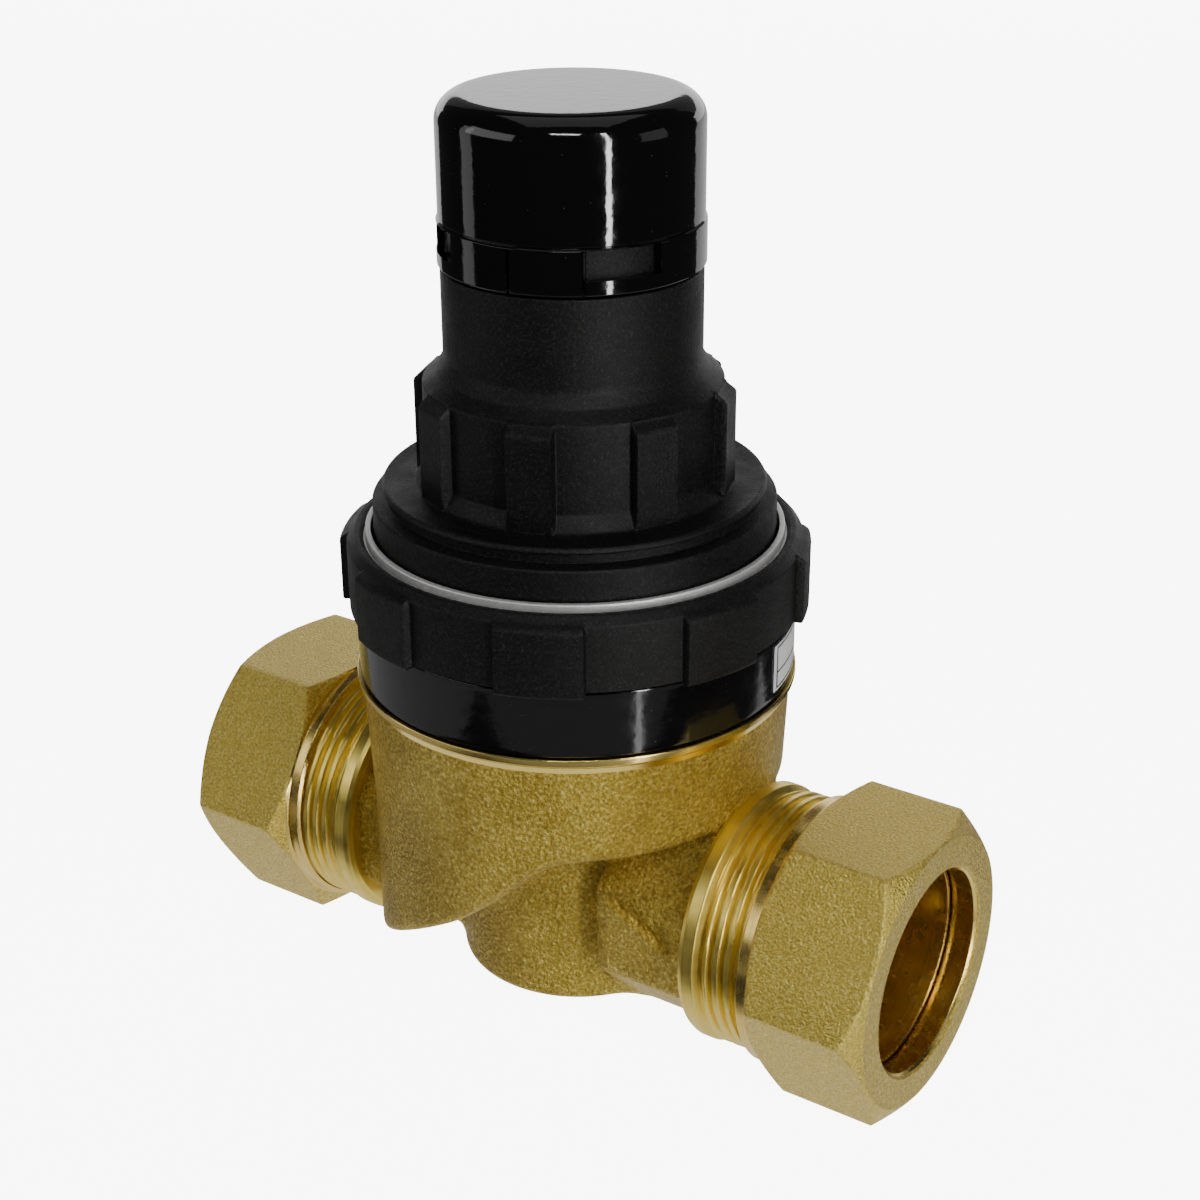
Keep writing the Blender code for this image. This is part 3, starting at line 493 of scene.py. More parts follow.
def white_film():
    s = Shader("white_film", Metallic=0.0)
    mottle = s.noise(0.9, detail=2.0)
    s.set("Base Color", s.spread(mottle, (0.90, 0.91, 0.92), (0.95, 0.95, 0.95)))
    s.set("Roughness", s.spread(mottle, 0.28, 0.38))
    s.bump(mottle, 0.02, 0.3)
    return s.material


def printed_line():
    s = Shader("printed_line", Metallic=0.0)
    ink = s.noise(2.5)
    s.set("Base Color", s.spread(ink, (0.015, 0.016, 0.018), (0.03, 0.03, 0.033)))
    s.set("Roughness", s.spread(ink, 0.35, 0.45))
    return s.material


def white_acetal():
    s = Shader("white_acetal", Metallic=0.0)
    flow = s.noise(0.25, detail=3.0)
    s.set("Base Color", s.spread(flow, (0.68, 0.67, 0.62), (0.78, 0.77, 0.73)))
    s.set("Roughness", s.spread(flow, 0.36, 0.48))
    s.bump(s.noise(3.0), 0.02, 0.5)
    return s.material


def black_rubber():
    s = Shader("black_rubber", Metallic=0.0)
    bloom = s.noise(0.8, detail=3.0)
    s.set("Base Color", s.spread(bloom, (0.014, 0.014, 0.014), (0.032, 0.032, 0.031)))
    s.set("Roughness", s.spread(bloom, 0.60, 0.80))
    s.bump(s.noise(4.0), 0.03, 0.5)
    return s.material


CAST = cast_brass()
NUT = nut_brass()
THREAD = turned_brass("thread_brass", (0.95, 0.73, 0.17), 0.34, "x", lines=5.0, depth=0.001)
COLLAR = turned_brass("machined_flange_brass", (0.94, 0.72, 0.22), 0.20, "z", lines=9.0)
TURNED = turned_brass("turned_brass", (0.90, 0.66, 0.20), 0.25, "x", lines=6.0, depth=0.004)
SPINDLE = turned_brass("spindle_brass", (0.84, 0.66, 0.30), 0.24, "z", lines=5.0)
NYLON = black_nylon()
GLOSS = gloss_black("gloss_black", 0.07)
BAND_GLOSS = gloss_black("band_gloss_black", 0.11)
STEEL = bright_steel()
SPRING = spring_steel()
FILM = white_film()
INK = printed_line()
ACETAL = white_acetal()
RUBBER = black_rubber()


# --- valve body ------------------------------------------------------------------------------------------

RING_TOP = BAND_LOW - 0.3
CASTING_TOP_DROP = 1.5
RING_R = 24.0
BOWL_R = 22.7
BOWL_TOP_R = 23.3
LOBE_LOW = -11.2
BOSS_R = 13.3
BOSS_LOW = -11.8
NECK_AF = 24.8
NECK_START = 10.8
SHOULDER = 22.5
PIPE_STOP = 19.0
PIPE_R = 11.15
WATERWAY_R = 9.0
CHAMBER_R = 18.5
SHELF = 27.0
SHELF_R = 20.0
CHAMBER_LOW = 15.0
OUTLET_R = 11.3
OUTLET_LOW = -9.0
OUTLET_TOP = 5.0
OUTLET_WAY_START = 5.0
INLET_WAY_START = 15.5
WEB_R = 10.5
WEB_LOW = 4.0
POCKET_R = 19.8
POCKET_INNER_R = 14.0
POCKET_LOW = -5.0
POCKET_END = 10.7
INNER_ROOF = 16.0
LEDGE_X = (-30.0, -17.0, -8.4, 0.0, 5.0, 9.4, 12.0, 30.0)
LEDGE_Z = (-17.6, -9.0, -3.3, 2.0, 6.2, 10.6, 11.6, 12.4)
LEDGE_EASE = 1.6
ARROW_TAIL = 12.4
ARROW_TIP = 20.2
ARROW_HALF = 4.3
ARROW_PROUD = 0.6


def ledge_height(x):
    """Height of the bowl's underside along the pipe, eased so that it has no corners."""
    steps = np.linspace(-LEDGE_EASE, LEDGE_EASE, 9)
    return sum(np.interp(x + s, LEDGE_X, LEDGE_Z) for s in steps) / len(steps)


def arrow_mask(x, z):
    """1 inside the flow arrow, a triangle that points at the outlet, and 0 outside, over a soft edge."""
    slope = ARROW_HALF / (ARROW_TIP - ARROW_TAIL)
    side = (np.abs(z) - slope * (ARROW_TIP - x)) / math.hypot(1.0, slope)
    outside = np.maximum(ARROW_TAIL - x, side)
    edge = 0.13
    return 1.0 - smooth_step(outside, -edge, edge)


def body_field(x, y, z):
    """Signed distance to the casting, near enough: negative in the metal."""
    r = np.hypot(x, y)
    flare_start, flare_height, boss_top = 8.0, 13.0, 14.0
    edge, start_edge, ledge_edge, boss_edge, lobe_edge = 0.5, 0.6, 1.3, 1.1, 4.5
    wall = BOWL_R + (BOWL_TOP_R - BOWL_R) * np.clip((z - flare_start) / flare_height, 0.0, 1.0)
    bowl = r - wall
    ledge_slope = 0.84
    under = (ledge_height(x) - z) * ledge_slope
    bowl = smooth_max(bowl, under, ledge_edge)
    bowl = smooth_max(bowl, LOBE_LOW - z, lobe_edge)
    boss = smooth_max(r - BOSS_R, BOSS_LOW - z, boss_edge)
    boss = np.maximum(boss, z - boss_top)
    flat = NECK_AF / 2
    front = np.abs(y) - flat - ARROW_PROUD * arrow_mask(x, z) * (y < 0)
    tilted = math.sqrt(0.5)
    neck = smooth_max(front, np.abs(z) - flat, edge)
    for diagonal in (y + z, y - z):
        neck = smooth_max(neck, np.abs(diagonal) * tilted - flat, edge)
    neck = smooth_max(neck, NECK_START - np.abs(x), start_edge)
    neck = smooth_max(neck, np.abs(x) - SHOULDER, edge)
    boss_fillet, neck_fillet = 2.2, 1.7
    metal = smooth_min(bowl, boss, boss_fillet)
    metal = smooth_min(metal, neck, neck_fillet)
    metal = np.maximum(metal, z - RING_TOP + CASTING_TOP_DROP)
    return np.maximum(metal, -hollow_field(x, y, z, r))


def hollow_field(x, y, z, r):
    """Signed distance to the space inside: chambers, inlet pocket, waterways and pipe sockets."""
    along = np.hypot(y, z)
    chamber = np.maximum(r - CHAMBER_R, CHAMBER_LOW - z)
    outlet = np.maximum(np.maximum(r - OUTLET_R, z - OUTLET_TOP), OUTLET_LOW - z)
    web = np.maximum(r - WEB_R, np.maximum(WEB_LOW - z, z - INNER_ROOF))
    pocket = np.maximum(np.maximum(r - POCKET_R, POCKET_INNER_R - r), x + POCKET_END)
    pocket = np.maximum(pocket, np.maximum(POCKET_LOW - z, z - INNER_ROOF))
    outlet_way = np.maximum(along - WATERWAY_R, OUTLET_WAY_START - x)
    inlet_way = np.maximum(along - WATERWAY_R, x + INLET_WAY_START)
    sockets = np.maximum(along - PIPE_R, PIPE_STOP - np.abs(x))
    hollow = chamber
    for other in (outlet, web, pocket, outlet_way, inlet_way, sockets):
        hollow = np.minimum(hollow, other)
    return hollow


def casting():
    margin = 1.5
    reach = BOWL_TOP_R + margin
    low = (-reach, -reach, -NECK_AF / 2 - margin)
    high = (reach, reach, RING_TOP + 0.5)
    cell = 0.4
    verts, quads = surface_of(body_field, low, high, cell)
    mesh = bpy.data.meshes.new("cast_body")
    mesh.from_pydata(verts.tolist(), [], quads.tolist())
    tidy_mesh(mesh)
    piece = finish_mesh("cast_body", mesh, CAST, "valve", "cast_brass")
    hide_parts("valve_body")


def male_end(side, label):
    """The machined shoulder and thread at one end, with the socket that the pipe goes into."""
    start = 24.7
    pitch = 1.4
    end = BODY_END
    crest, root = 14.25, 13.6
    profile = soften(
        [
            (13.6, 22.2),
            (14.3, 22.5, 0.2),
            (14.5, 23.0, 0.2),
            (14.5, 24.3, 0.2),
            (root, 24.8, 0.2),
            (root, end - 0.8),
            (13.1, end, 0.1),
            (13.0, end, 0.05),
            (PIPE_R, end - 3.0, 0.1),
            (PIPE_R, 22.2),
        ]
    )

    def thread(r, x, angle):
        run = between(x, start, start + 1.0, end - 1.3, end - 0.3)
        tooth = thread_height(x, angle, pitch, root=0.46, crest=0.16, hand=side)
        on_thread = (r > 13.2) & (x > start) & (x < end - 0.2)
        return np.where(on_thread, r + (crest - root) * tooth * run, r)

    points = subdivide(profile, 0.08)
    lathe(f"{label}_thread", points, THREAD, "valve", "cast_brass", steps=240, shape=thread, along_pipe=side)


def machined_neck():
    """The bright flange under the band, and the neck that the band and the ring nut go on."""
    top = BODY_TOP
    root, crest, pitch = 22.0, 22.6, 1.5
    inner = BOWL_TOP_R - 4.0
    profile = soften(
        [
            (BOWL_TOP_R - 1.2, RING_TOP - 2.6),
            (BOWL_TOP_R - 0.15, RING_TOP - 2.2, 0.3),
            (BOWL_TOP_R + 0.25, RING_TOP - 1.15, 0.1),
            (RING_R - 0.25, RING_TOP - 0.95, 0.1),
            (RING_R, RING_TOP - 0.75, 0.12),
            (RING_R, RING_TOP, 0.15),
            (22.8, RING_TOP, 0.1),
            (22.8, BAND_TOP - 0.4, 0.1),
            (root, BAND_TOP + 0.2, 0.1),
            (root, top - 0.5),
            (root - 0.5, top, 0.1),
            (SHELF_R, top, 0.15),
            (SHELF_R, SHELF, 0.1),
            (inner, SHELF - 0.5),
            (inner, RING_TOP - 2.6),
        ]
    )

    def thread(r, z, angle):
        low, high = BAND_TOP + 0.3, top - 0.3
        run = between(z, low, low + 0.8, high - 0.8, high)
        tooth = thread_height(z, angle, pitch, root=0.42, crest=0.12)
        return np.where((r > root - 0.1) & (z > low) & (z < high), r + (crest - root) * tooth * run, r)

    points = subdivide(profile, 0.2)
    lathe("machined_neck", points, COLLAR, "valve", "cast_brass", steps=192, shape=thread)


# --- compression ends ------------------------------------------------------------------------------------


def compression_nut(side, label):
    """A blasted hexagon nut with turned ends: its hexagon is a soft limit on the radius of each point."""
    flat = NUT_AF / 2
    corner = flat / math.cos(math.pi / 6)
    hole, collar = 11.1, 14.85
    outline = [
        (14.35, NUT_START, 0.1),
        (collar, NUT_START + 0.35, 0.15),
        (collar, NUT_START + 1.5, 0.1),
        (corner, NUT_START + 2.9, 0.3),
        (corner, NUT_FACE - 1.7, 0.4),
        (collar, NUT_FACE, 0.25),
        (hole + 0.5, NUT_FACE, 0.12),
        (hole, NUT_FACE - 0.5, 0.12),
        (hole, NUT_FACE - 2.4, 0.1),
        (13.35, NUT_FACE - 6.1, 0.1),
        (14.25, NUT_FACE - 6.1, 0.1),
        (14.25, NUT_START + 0.3, 0.1),
    ]

    def hexagon(r, x, angle):
        limit = flat / np.cos(from_nearest(angle, 6))
        return np.where(r > collar + 0.05, smooth_min(r, limit, 0.3), np.minimum(r, limit))

    points = subdivide(soften(outline), 0.2)
    name = f"{label}_nut"
    nut = lathe(name, points, NUT, f"{label}_nut", "nut_brass", steps=360, shape=hexagon, along_pipe=side)
    nut.data.materials.append(TURNED)
    paint_turned_faces(nut.data)
    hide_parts(f"{label}_compression_nut")


def paint_turned_faces(mesh):
    """Gives the collar, the mouth and the bore of a nut the machined finish."""
    mouth, bore = 11.3, 14.3
    for polygon in mesh.polygons:
        centre = polygon.center
        x = abs(centre.x) / MM
        r = math.hypot(centre.y, centre.z - PIPE_HEIGHT * MM) / MM
        collar = x < NUT_START + 1.7
        inside = r < mouth or (r < bore and x < NUT_FACE - 0.7)
        polygon.material_index = 1 if collar or inside else 0


def olive(side, label):
    low, high = along_x(f"{label}_olive")
    out = radius_across(f"{label}_olive")
    profile = soften(
        [
            (PIPE_R, low, 0.1),
            (11.5, low, 0.1),
            (out - 0.3, low + 1.9, 0.4),
            (out, low + 2.5, 0.4),
            (out, high - 2.7, 0.5),
            (11.6, high, 0.15),
            (PIPE_R, high, 0.15),
        ]
    )
    points = subdivide(profile, 0.4)
    body = f"{label}_olive_body"
    piece = lathe(f"{label}_ring_olive", points, TURNED, body, "olive_brass", steps=128, along_pipe=side)
    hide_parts(f"{label}_olive")


def radius_across(node):
    """Radius of a piece that lies along the pipe."""
    low, high = node_box(node)
    return float(high[1] - low[1]) / 2


# --- band, label, ring nut, washer -----------------------------------------------------------------------


def band():
    low, high = BAND_LOW - 0.2, BAND_TOP + 0.25
    inner = BAND_R - 0.55
    profile = soften(
        [(inner, low, 0.1), (BAND_R, low, 0.2), (BAND_R, high, 0.2), (inner, high, 0.1)]
    )
    piece = lathe("band", subdivide(profile, 0.5), BAND_GLOSS, "valve", "gloss_black", steps=192)
    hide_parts("identification_band")


def label():
    """A blank film label wrapped on the band, with a printed frame and rule but no lettering."""
    low, high = heights("blank_label")
    out, thickness = BAND_R + 0.12, 0.08
    start, end = math.radians(5.5), math.radians(73.0)
    across, up = 96, 24
    frame_row, frame_column, rule_row = 1, 2, 9
    work = bmesh.new()
    rows = []
    for shell in (out, out - thickness):
        grid = []
        for i in range(up + 1):
            z = low + (high - low) * i / up
            line = []
            for j in range(across + 1):
                angle = start + (end - start) * j / across
                line.append(work.verts.new((shell * math.cos(angle), shell * math.sin(angle), z)))
            grid.append(line)
        rows.append(grid)
    front, back = rows
    for i in range(up):
        for j in range(across):
            face = work.faces.new((front[i][j], front[i][j + 1], front[i + 1][j + 1], front[i + 1][j]))
            top_row, last_column = up - 1 - frame_row, across - 1 - frame_column
            on_line = i in (frame_row, rule_row, top_row) or j in (frame_column, last_column)
            inside = frame_row <= i <= top_row and frame_column <= j <= last_column
            face.material_index = 1 if on_line and inside else 0
            work.faces.new((back[i + 1][j], back[i + 1][j + 1], back[i][j + 1], back[i][j]))
    rim = [(0, j) for j in range(across)] + [(i, across) for i in range(up)]
    rim += [(up, j) for j in range(across, 0, -1)] + [(i, 0) for i in range(up, 0, -1)]
    for (a, b), (c, d) in zip(rim, rim[1:] + rim[:1]):
        work.faces.new((front[a][b], back[a][b], back[c][d], front[c][d]))
    bmesh.ops.recalc_face_normals(work, faces=work.faces)
    mesh = bpy.data.meshes.new("film_label")
    work.to_mesh(mesh)
    work.free()
    piece = finish_mesh("film_label", mesh, FILM, "valve", "white_label")
    piece.data.materials.append(INK)
    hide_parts("blank_label")


LUG_COUNT = 8
LUG_FIRST = math.radians(-18.6)
LUG_HALF = math.radians(10.5)
RING_BASE_R = 24.4
LUG_R = 25.2
LUG_LOW = heights("union_ring_nut")[0]


def ring_nut():
    """A castellated ring: eight lugs stand out of a plain ring, with sloping tops and rounded edges."""
    top = RING_NUT_TOP
    low = LUG_LOW
    bore, lip, foot_gap = 23.2, 22.6, 0.45
    profile = [
        (lip, top - 0.35, 0.12),
        (23.0, top, 0.15),
        (RING_BASE_R - 0.9, top, 0.3),
        (RING_BASE_R, top - 0.95, 0.3),
        (RING_BASE_R, low, 0.12),
        (bore, low, 0.1),
        (bore, top - 0.75, 0.05),
        (lip, top - 0.75, 0.05),
    ]

    def lugs(r, z, angle):
        away = np.abs(from_nearest(angle, LUG_COUNT, LUG_FIRST))
        on = 1.0 - smooth_step(away, LUG_HALF - math.radians(0.25), LUG_HALF + math.radians(0.25))
        slope_top = top - 1.25
        under_top = 1.0 - smooth_step(z, slope_top - 0.25, slope_top + 0.65)
        above_foot = smooth_step(z, low - 0.05, low + 0.2)
        outward = smooth_step(r, RING_BASE_R - 1.0, RING_BASE_R - 0.05)
        lift = (LUG_R - RING_BASE_R) * on * under_top * (0.75 + 0.25 * above_foot)
        return r + lift * outward

    def foot(z, angle):
        """Between lugs the ring stops a little short of the band."""
        away = np.abs(from_nearest(angle, LUG_COUNT, LUG_FIRST))
        off = smooth_step(away, LUG_HALF - math.radians(0.3), LUG_HALF + math.radians(0.5))
        return np.where(z < low + foot_gap, np.maximum(z, low + foot_gap * off), z)

    points = subdivide(soften(profile), 0.22)
    mesh = lathe_mesh("castellated_ring_nut", points, steps=1080, shape=lugs)
    lift_feet(mesh, foot)
    piece = finish_mesh("castellated_ring_nut", mesh, NYLON, "ring_nut", "black_nylon")
    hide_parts("union_ring_nut")


def lift_feet(mesh, foot):
    """Gives every point the height foot(height, angle)."""
    count = len(mesh.vertices)
    flat = np.empty(count * 3)
    mesh.vertices.foreach_get("co", flat)
    co = flat.reshape(-1, 3)
    co[:, 2] = foot(co[:, 2], np.arctan2(co[:, 1], co[:, 0]))
    mesh.vertices.foreach_set("co", co.reshape(-1))
    mesh.update()


def washer():
    """A thin pressed ring whose upturned collar shows as a bright line round the bonnet."""
    low, high = heights("slip_washer")
    out = radius("slip_washer")
    inner, collar, ledge = 21.75, 22.35, 39.9
    ridges, depth = 540, 0.012

    def ridged(r, z, angle):
        return np.where((z > ledge + 0.1) & (r > inner + 0.1), r + depth * np.sin(angle * ridges), r)

    profile = soften(
        [
            (inner, low, 0.05),
            (out, low, 0.05),
            (out, ledge, 0.08),
            (collar, ledge, 0.1),
            (collar, high, 0.16),
            (inner, high, 0.1),
        ]
    )
    points = subdivide(profile, 0.2)
    piece = lathe("stainless_slip_washer", points, STEEL, "washer", "steel", steps=2160, shape=ridged)
    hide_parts("slip_washer")


# --- bonnet and cap --------------------------------------------------------------------------------------

RIB_COUNT = 8
RIB_FIRST = math.radians(-25.5)
RIB_HALF = 2.4
RIB_R = 16.8
RIB_TOP = 55.9
WAIST_R = 15.7
WAIST_TOP = 57.0
TUBE_R = 13.45
SPIGOT_R = 12.6
TUBE_TOP = CAP_LOW - 0.3
DRUM_R = 21.45
FLANGE_R = 22.8


def bonnet():
    """The spring housing: a turned moulding with eight upright ribs on its waist."""
    profile = [
        (6.1, BONNET_TOP, 0.2),
        (SPIGOT_R - 0.8, BONNET_TOP, 0.2),
        (SPIGOT_R, BONNET_TOP - 0.8, 0.2),
        (SPIGOT_R, TUBE_TOP, 0.15),
        (TUBE_R, TUBE_TOP, 0.2),
        (TUBE_R, 59.6, 1.6),
        (14.3, 58.2, 0.9),
        (WAIST_R, WAIST_TOP, 0.3),
        (WAIST_R, 47.75, 0.12),
        (16.8, 46.05, 0.7),
        (18.6, 45.95),
        (20.1, 46.1, 0.35),
        (20.45, 45.55, 0.25),
        (19.9, 45.35, 0.1),
        (19.9, 44.4, 0.1),
        (21.3, 44.2, 0.08),
        (DRUM_R, 44.0, 0.1),
        (DRUM_R, 39.2, 0.2),
        (FLANGE_R, 39.2, 0.1),
        (FLANGE_R, BONNET_LOW, 0.15),
        (18.6, BONNET_LOW, 0.2),
        (18.6, 43.0, 0.8),
        (13.2, 46.6, 0.8),
        (13.2, 56.4, 0.6),
        (11.1, 57.9, 0.4),
        (11.1, 72.6, 0.4),
        (6.1, 72.6, 0.2),
    ]

    def ribs(r, z, angle):
        """Flat-faced ribs whose tops slope back to the waist, with crisp edges."""
        away = from_nearest(angle, RIB_COUNT, RIB_FIRST)
        across = np.abs(RIB_R * np.sin(away))
        side = smooth_step(across, RIB_HALF + 0.22, RIB_HALF - 0.08)
        top_of_face = RIB_R - (RIB_R - WAIST_R) * smooth_step(z, RIB_TOP, WAIST_TOP + 0.1)
        face = top_of_face / np.cos(np.clip(away, -0.3, 0.3))
        ribbed = (r > WAIST_R - 0.4) & (z > 45.4) & (z < WAIST_TOP + 0.2)
        return np.where(ribbed, r + np.maximum(face - r, 0.0) * side, r)

    points = subdivide(soften(profile), 0.25)
    piece = lathe("bonnet", points, NYLON, "valve", "black_nylon", steps=1080, shape=ribs)
    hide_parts("spring_bonnet")


CAP_R = 13.5
CAP_SEAM = 74.0
CAP_BORE_R = 12.9
CAP_CEILING = CAP_TOP - 1.8
WINDOW_LOW = 70.9
WINDOW_TOP = 73.9
WINDOW_CENTRES = (-32.6, -131.4, 147.4, 48.6)
WINDOW_HALF = 16.6
SLITS = (-50.2, -81.8, 129.8, 98.2)
SLIT_HALF = 0.75
CUT_INNER_R = 11.5
CUT_OUTER_R = 15.0


def cap():
    """The pull-off cap: a polished cup whose skirt has windows and snap fingers between slits."""
    profile = [
        (0.0, CAP_TOP),
        (11.9, CAP_TOP, 4.0),
        (CAP_R, CAP_TOP - 1.6, 3.0),
        (CAP_R, CAP_SEAM + 0.25, 0.1),
        (CAP_R - 0.12, CAP_SEAM + 0.1, 0.05),
        (CAP_SKIRT_R, CAP_SEAM - 0.1, 0.12),
        (CAP_SKIRT_R, CAP_LOW, 0.2),
        (CAP_BORE_R, CAP_LOW, 0.1),
        (CAP_BORE_R, CAP_CEILING - 2.0, 0.8),
        (CAP_BORE_R - 2.0, CAP_CEILING, 0.8),
        (0.0, CAP_CEILING),
    ]
    points = subdivide(soften(profile, closed=False, steps=10), 0.8, closed=False)
    mesh = lathe_mesh("gloss_cap", points, steps=288, closed=False)
    base = bpy.data.objects.new("cap_blank", mesh)
    bpy.context.scene.collection.objects.link(base)
    cutters = []
    for angle in WINDOW_CENTRES:
        cutters.append(wedge(WINDOW_LOW, WINDOW_TOP, angle - WINDOW_HALF, angle + WINDOW_HALF))
    for angle in SLITS:
        cutters.append(wedge(CAP_LOW - 1.0, CAP_SEAM - 0.15, angle - SLIT_HALF, angle + SLIT_HALF))
    mesh = carved(base, cutters)
    piece = finish_mesh("gloss_cap", mesh, GLOSS, "cap", "gloss_black")
    edges = piece.modifiers.new("edges", "BEVEL")
    edges.width = 0.07 * MM
    edges.segments = 2
    edges.limit_method = "ANGLE"
    edges.angle_limit = math.radians(50)
    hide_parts("tamper_cap")


def wedge(low, high, start, end):
    """A cutter through the skirt, between two heights and two angles in degrees."""
    profile = [(CUT_OUTER_R, high), (CUT_OUTER_R, low), (CUT_INNER_R, low), (CUT_INNER_R, high)]
    steps = 24
    work = bmesh.new()
    rings = []
    for k in range(steps + 1):
        angle = math.radians(start + (end - start) * k / steps)
        rings.append([work.verts.new((r * math.cos(angle), r * math.sin(angle), z)) for r, z in profile])
    for a, b in zip(rings, rings[1:]):
        for i in range(4):
            work.faces.new((a[i], a[(i + 1) % 4], b[(i + 1) % 4], b[i]))
    work.faces.new(rings[0])
    work.faces.new(rings[-1][::-1])
    bmesh.ops.recalc_face_normals(work, faces=work.faces)
    mesh = bpy.data.meshes.new("cutter")
    work.to_mesh(mesh)
    work.free()
    obj = bpy.data.objects.new("cutter", mesh)
    bpy.context.scene.collection.objects.link(obj)
    return obj


def carved(base, cutters):
    """The mesh of the base with every cutter taken away. The base and the cutters are removed."""
    for cutter in cutters:
        boolean = base.modifiers.new("cut", "BOOLEAN")
        boolean.solver = "EXACT"
        boolean.object = cutter
    graph = bpy.context.evaluated_depsgraph_get()
    mesh = bpy.data.meshes.new_from_object(base.evaluated_get(graph))
    for obj in [base, *cutters]:
        bpy.data.objects.remove(obj, do_unlink=True)
    return mesh


# --- pieces under the cap --------------------------------------------------------------------------------


def adjusting_screw():
    """The screw that a hexagon key turns, with its thread in the top of the bonnet."""
    crest, root, pitch = 5.8, 5.15, 1.5
    low, high = SCREW_LOW, SCREW_TOP
    key = 2.5
    key_corner = key / math.cos(math.pi / 6)
    profile = soften(
        [
            (0.0, low),
            (3.0, low, 0.3),
            (3.0, low + 1.8, 0.1),
            (root, low + 2.2, 0.1),
            (root, high - 0.6, 0.1),
            (root - 0.6, high, 0.15),
            (key_corner + 0.35, high, 0.1),
            (key_corner, high - 0.35, 0.05),
            (key_corner, high - 4.0),
            (0.0, high - 4.6),
        ],
        closed=False,
    )

    def thread(r, z, angle):
        run = between(z, low + 2.2, low + 3.2, high - 1.2, high - 0.4)
        tooth = thread_height(z, angle, pitch, root=0.42, crest=0.1)
        threaded = np.where((r > root - 0.05) & (z > low + 2.2), r + (crest - root) * tooth * run, r)
        socket = key / np.cos(from_nearest(angle, 6))
        in_socket = (r < key_corner + 0.05) & (z > high - 4.5)
        return np.where(in_socket, np.minimum(r, socket), threaded)

    points = subdivide(profile, 0.16, closed=False)
    options = {"steps": 144, "closed": False, "shape": thread}
    piece = lathe("key_screw", points, SPINDLE, "screw", "stem_brass", **options)
    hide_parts("adjusting_screw")


def spring():
    """The coil, from the valve up to the upper plate. Its rates say how
    fast the end turns climb against the middle ones, before both are scaled to its height."""
    turns, per_turn, sides = 6.5, 48, 16
    wire = 1.3
    mean = radius("adjusting_spring") - wire
    low, high = SPRING_LOW + wire, SPRING_TOP - wire
    count = int(turns * per_turn) + 1
    t = np.linspace(0.0, turns, count)
    end_rate, middle_rate = 2.73, 2.362
    rate = end_rate + (middle_rate - end_rate) * between(t, 0.6, 1.1, turns - 1.1, turns - 0.6)
    z = np.concatenate([[0.0], np.cumsum((rate[1:] + rate[:-1]) / 2 * np.diff(t))])
    z = low + z / z[-1] * (high - low)
    angle = 2 * math.pi * t
    centre = np.stack([mean * np.cos(angle), mean * np.sin(angle), z], axis=-1)
    outward = np.stack([np.cos(angle), np.sin(angle), np.zeros(count)], axis=-1)
    along = np.gradient(centre, axis=0)
    along /= np.linalg.norm(along, axis=1)[:, None]
    up = np.cross(outward, along)
    around = np.arange(sides) * 2 * math.pi / sides
    verts = (
        centre[:, None, :]
        + wire * np.cos(around)[None, :, None] * outward[:, None, :]
        + wire * np.sin(around)[None, :, None] * up[:, None, :]
    ).reshape(-1, 3)
    faces = []
    for i in range(count - 1):
        for j in range(sides):
            k = (j + 1) % sides
            faces.append((i * sides + j, i * sides + k, (i + 1) * sides + k, (i + 1) * sides + j))
    faces.append(tuple(range(sides)))
    faces.append(tuple((count - 1) * sides + j for j in reversed(range(sides))))
    mesh = bpy.data.meshes.new("coil_spring")
    mesh.from_pydata(verts.tolist(), [], faces)
    tidy_mesh(mesh)
    piece = finish_mesh("coil_spring", mesh, SPRING, None, "spring_steel")
    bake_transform(piece)
    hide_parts("adjusting_spring")


KEPT = {
    "upper_spring_plate": STEEL,
    "spring_cup": STEEL,
    "stem_nut": STEEL,
    "disc_retaining_screw": STEEL,
    "strainer": STEEL,
    "diaphragm": RUBBER,
    "seat_washer": RUBBER,
    "stem_o_ring": RUBBER,
    "cartridge_upper_o_ring": RUBBER,
    "cartridge_lower_o_ring": RUBBER,
    "lower_diaphragm_plate": SPINDLE,
    "valve_stem": SPINDLE,
    "disc_holder": SPINDLE,
    "cartridge_housing": ACETAL,
}


def keep_inner_pieces():
    """Pieces shut up inside keep their CAD shape and get a finished material."""
    for node, material in KEPT.items():
        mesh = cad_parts[node].data
        mesh.materials.clear()
        mesh.materials.append(material)


# --- stage -----------------------------------------------------------------------------------------------

LENS = 64.97
SENSOR = 36.0
CAMERA_PLACE = (0.12328, -0.17440, 0.14525)
CAMERA_TARGET = (0.00214, 0.00147, 0.04624)
CAMERA_ROLL = math.radians(-0.374)
FLOOR_HALF = 6.0
SKY_RADIUS = 5.0
BACKDROP_GREY = 0.90
BACKDROP_GLOW = 8.0
AMBIENT = 0.03
WHITE = (1.0, 1.0, 1.0, 1.0)


def aimed(obj, place, target, roll=0.0):
    direction = Vector(target) - Vector(place)
    obj.location = place
    turn = direction.to_track_quat("-Z", "Y").to_matrix().to_4x4() @ Matrix.Rotation(roll, 4, "Z")
    obj.rotation_euler = turn.to_euler()
    return obj


def camera():
    data = bpy.data.cameras.new("camera")
    data.lens = LENS
    data.sensor_width = SENSOR
    data.clip_start = 0.01
    obj = bpy.data.objects.new("camera", data)
    bpy.context.scene.collection.objects.link(obj)
    aimed(obj, CAMERA_PLACE, CAMERA_TARGET, CAMERA_ROLL)
    bpy.context.scene.camera = obj


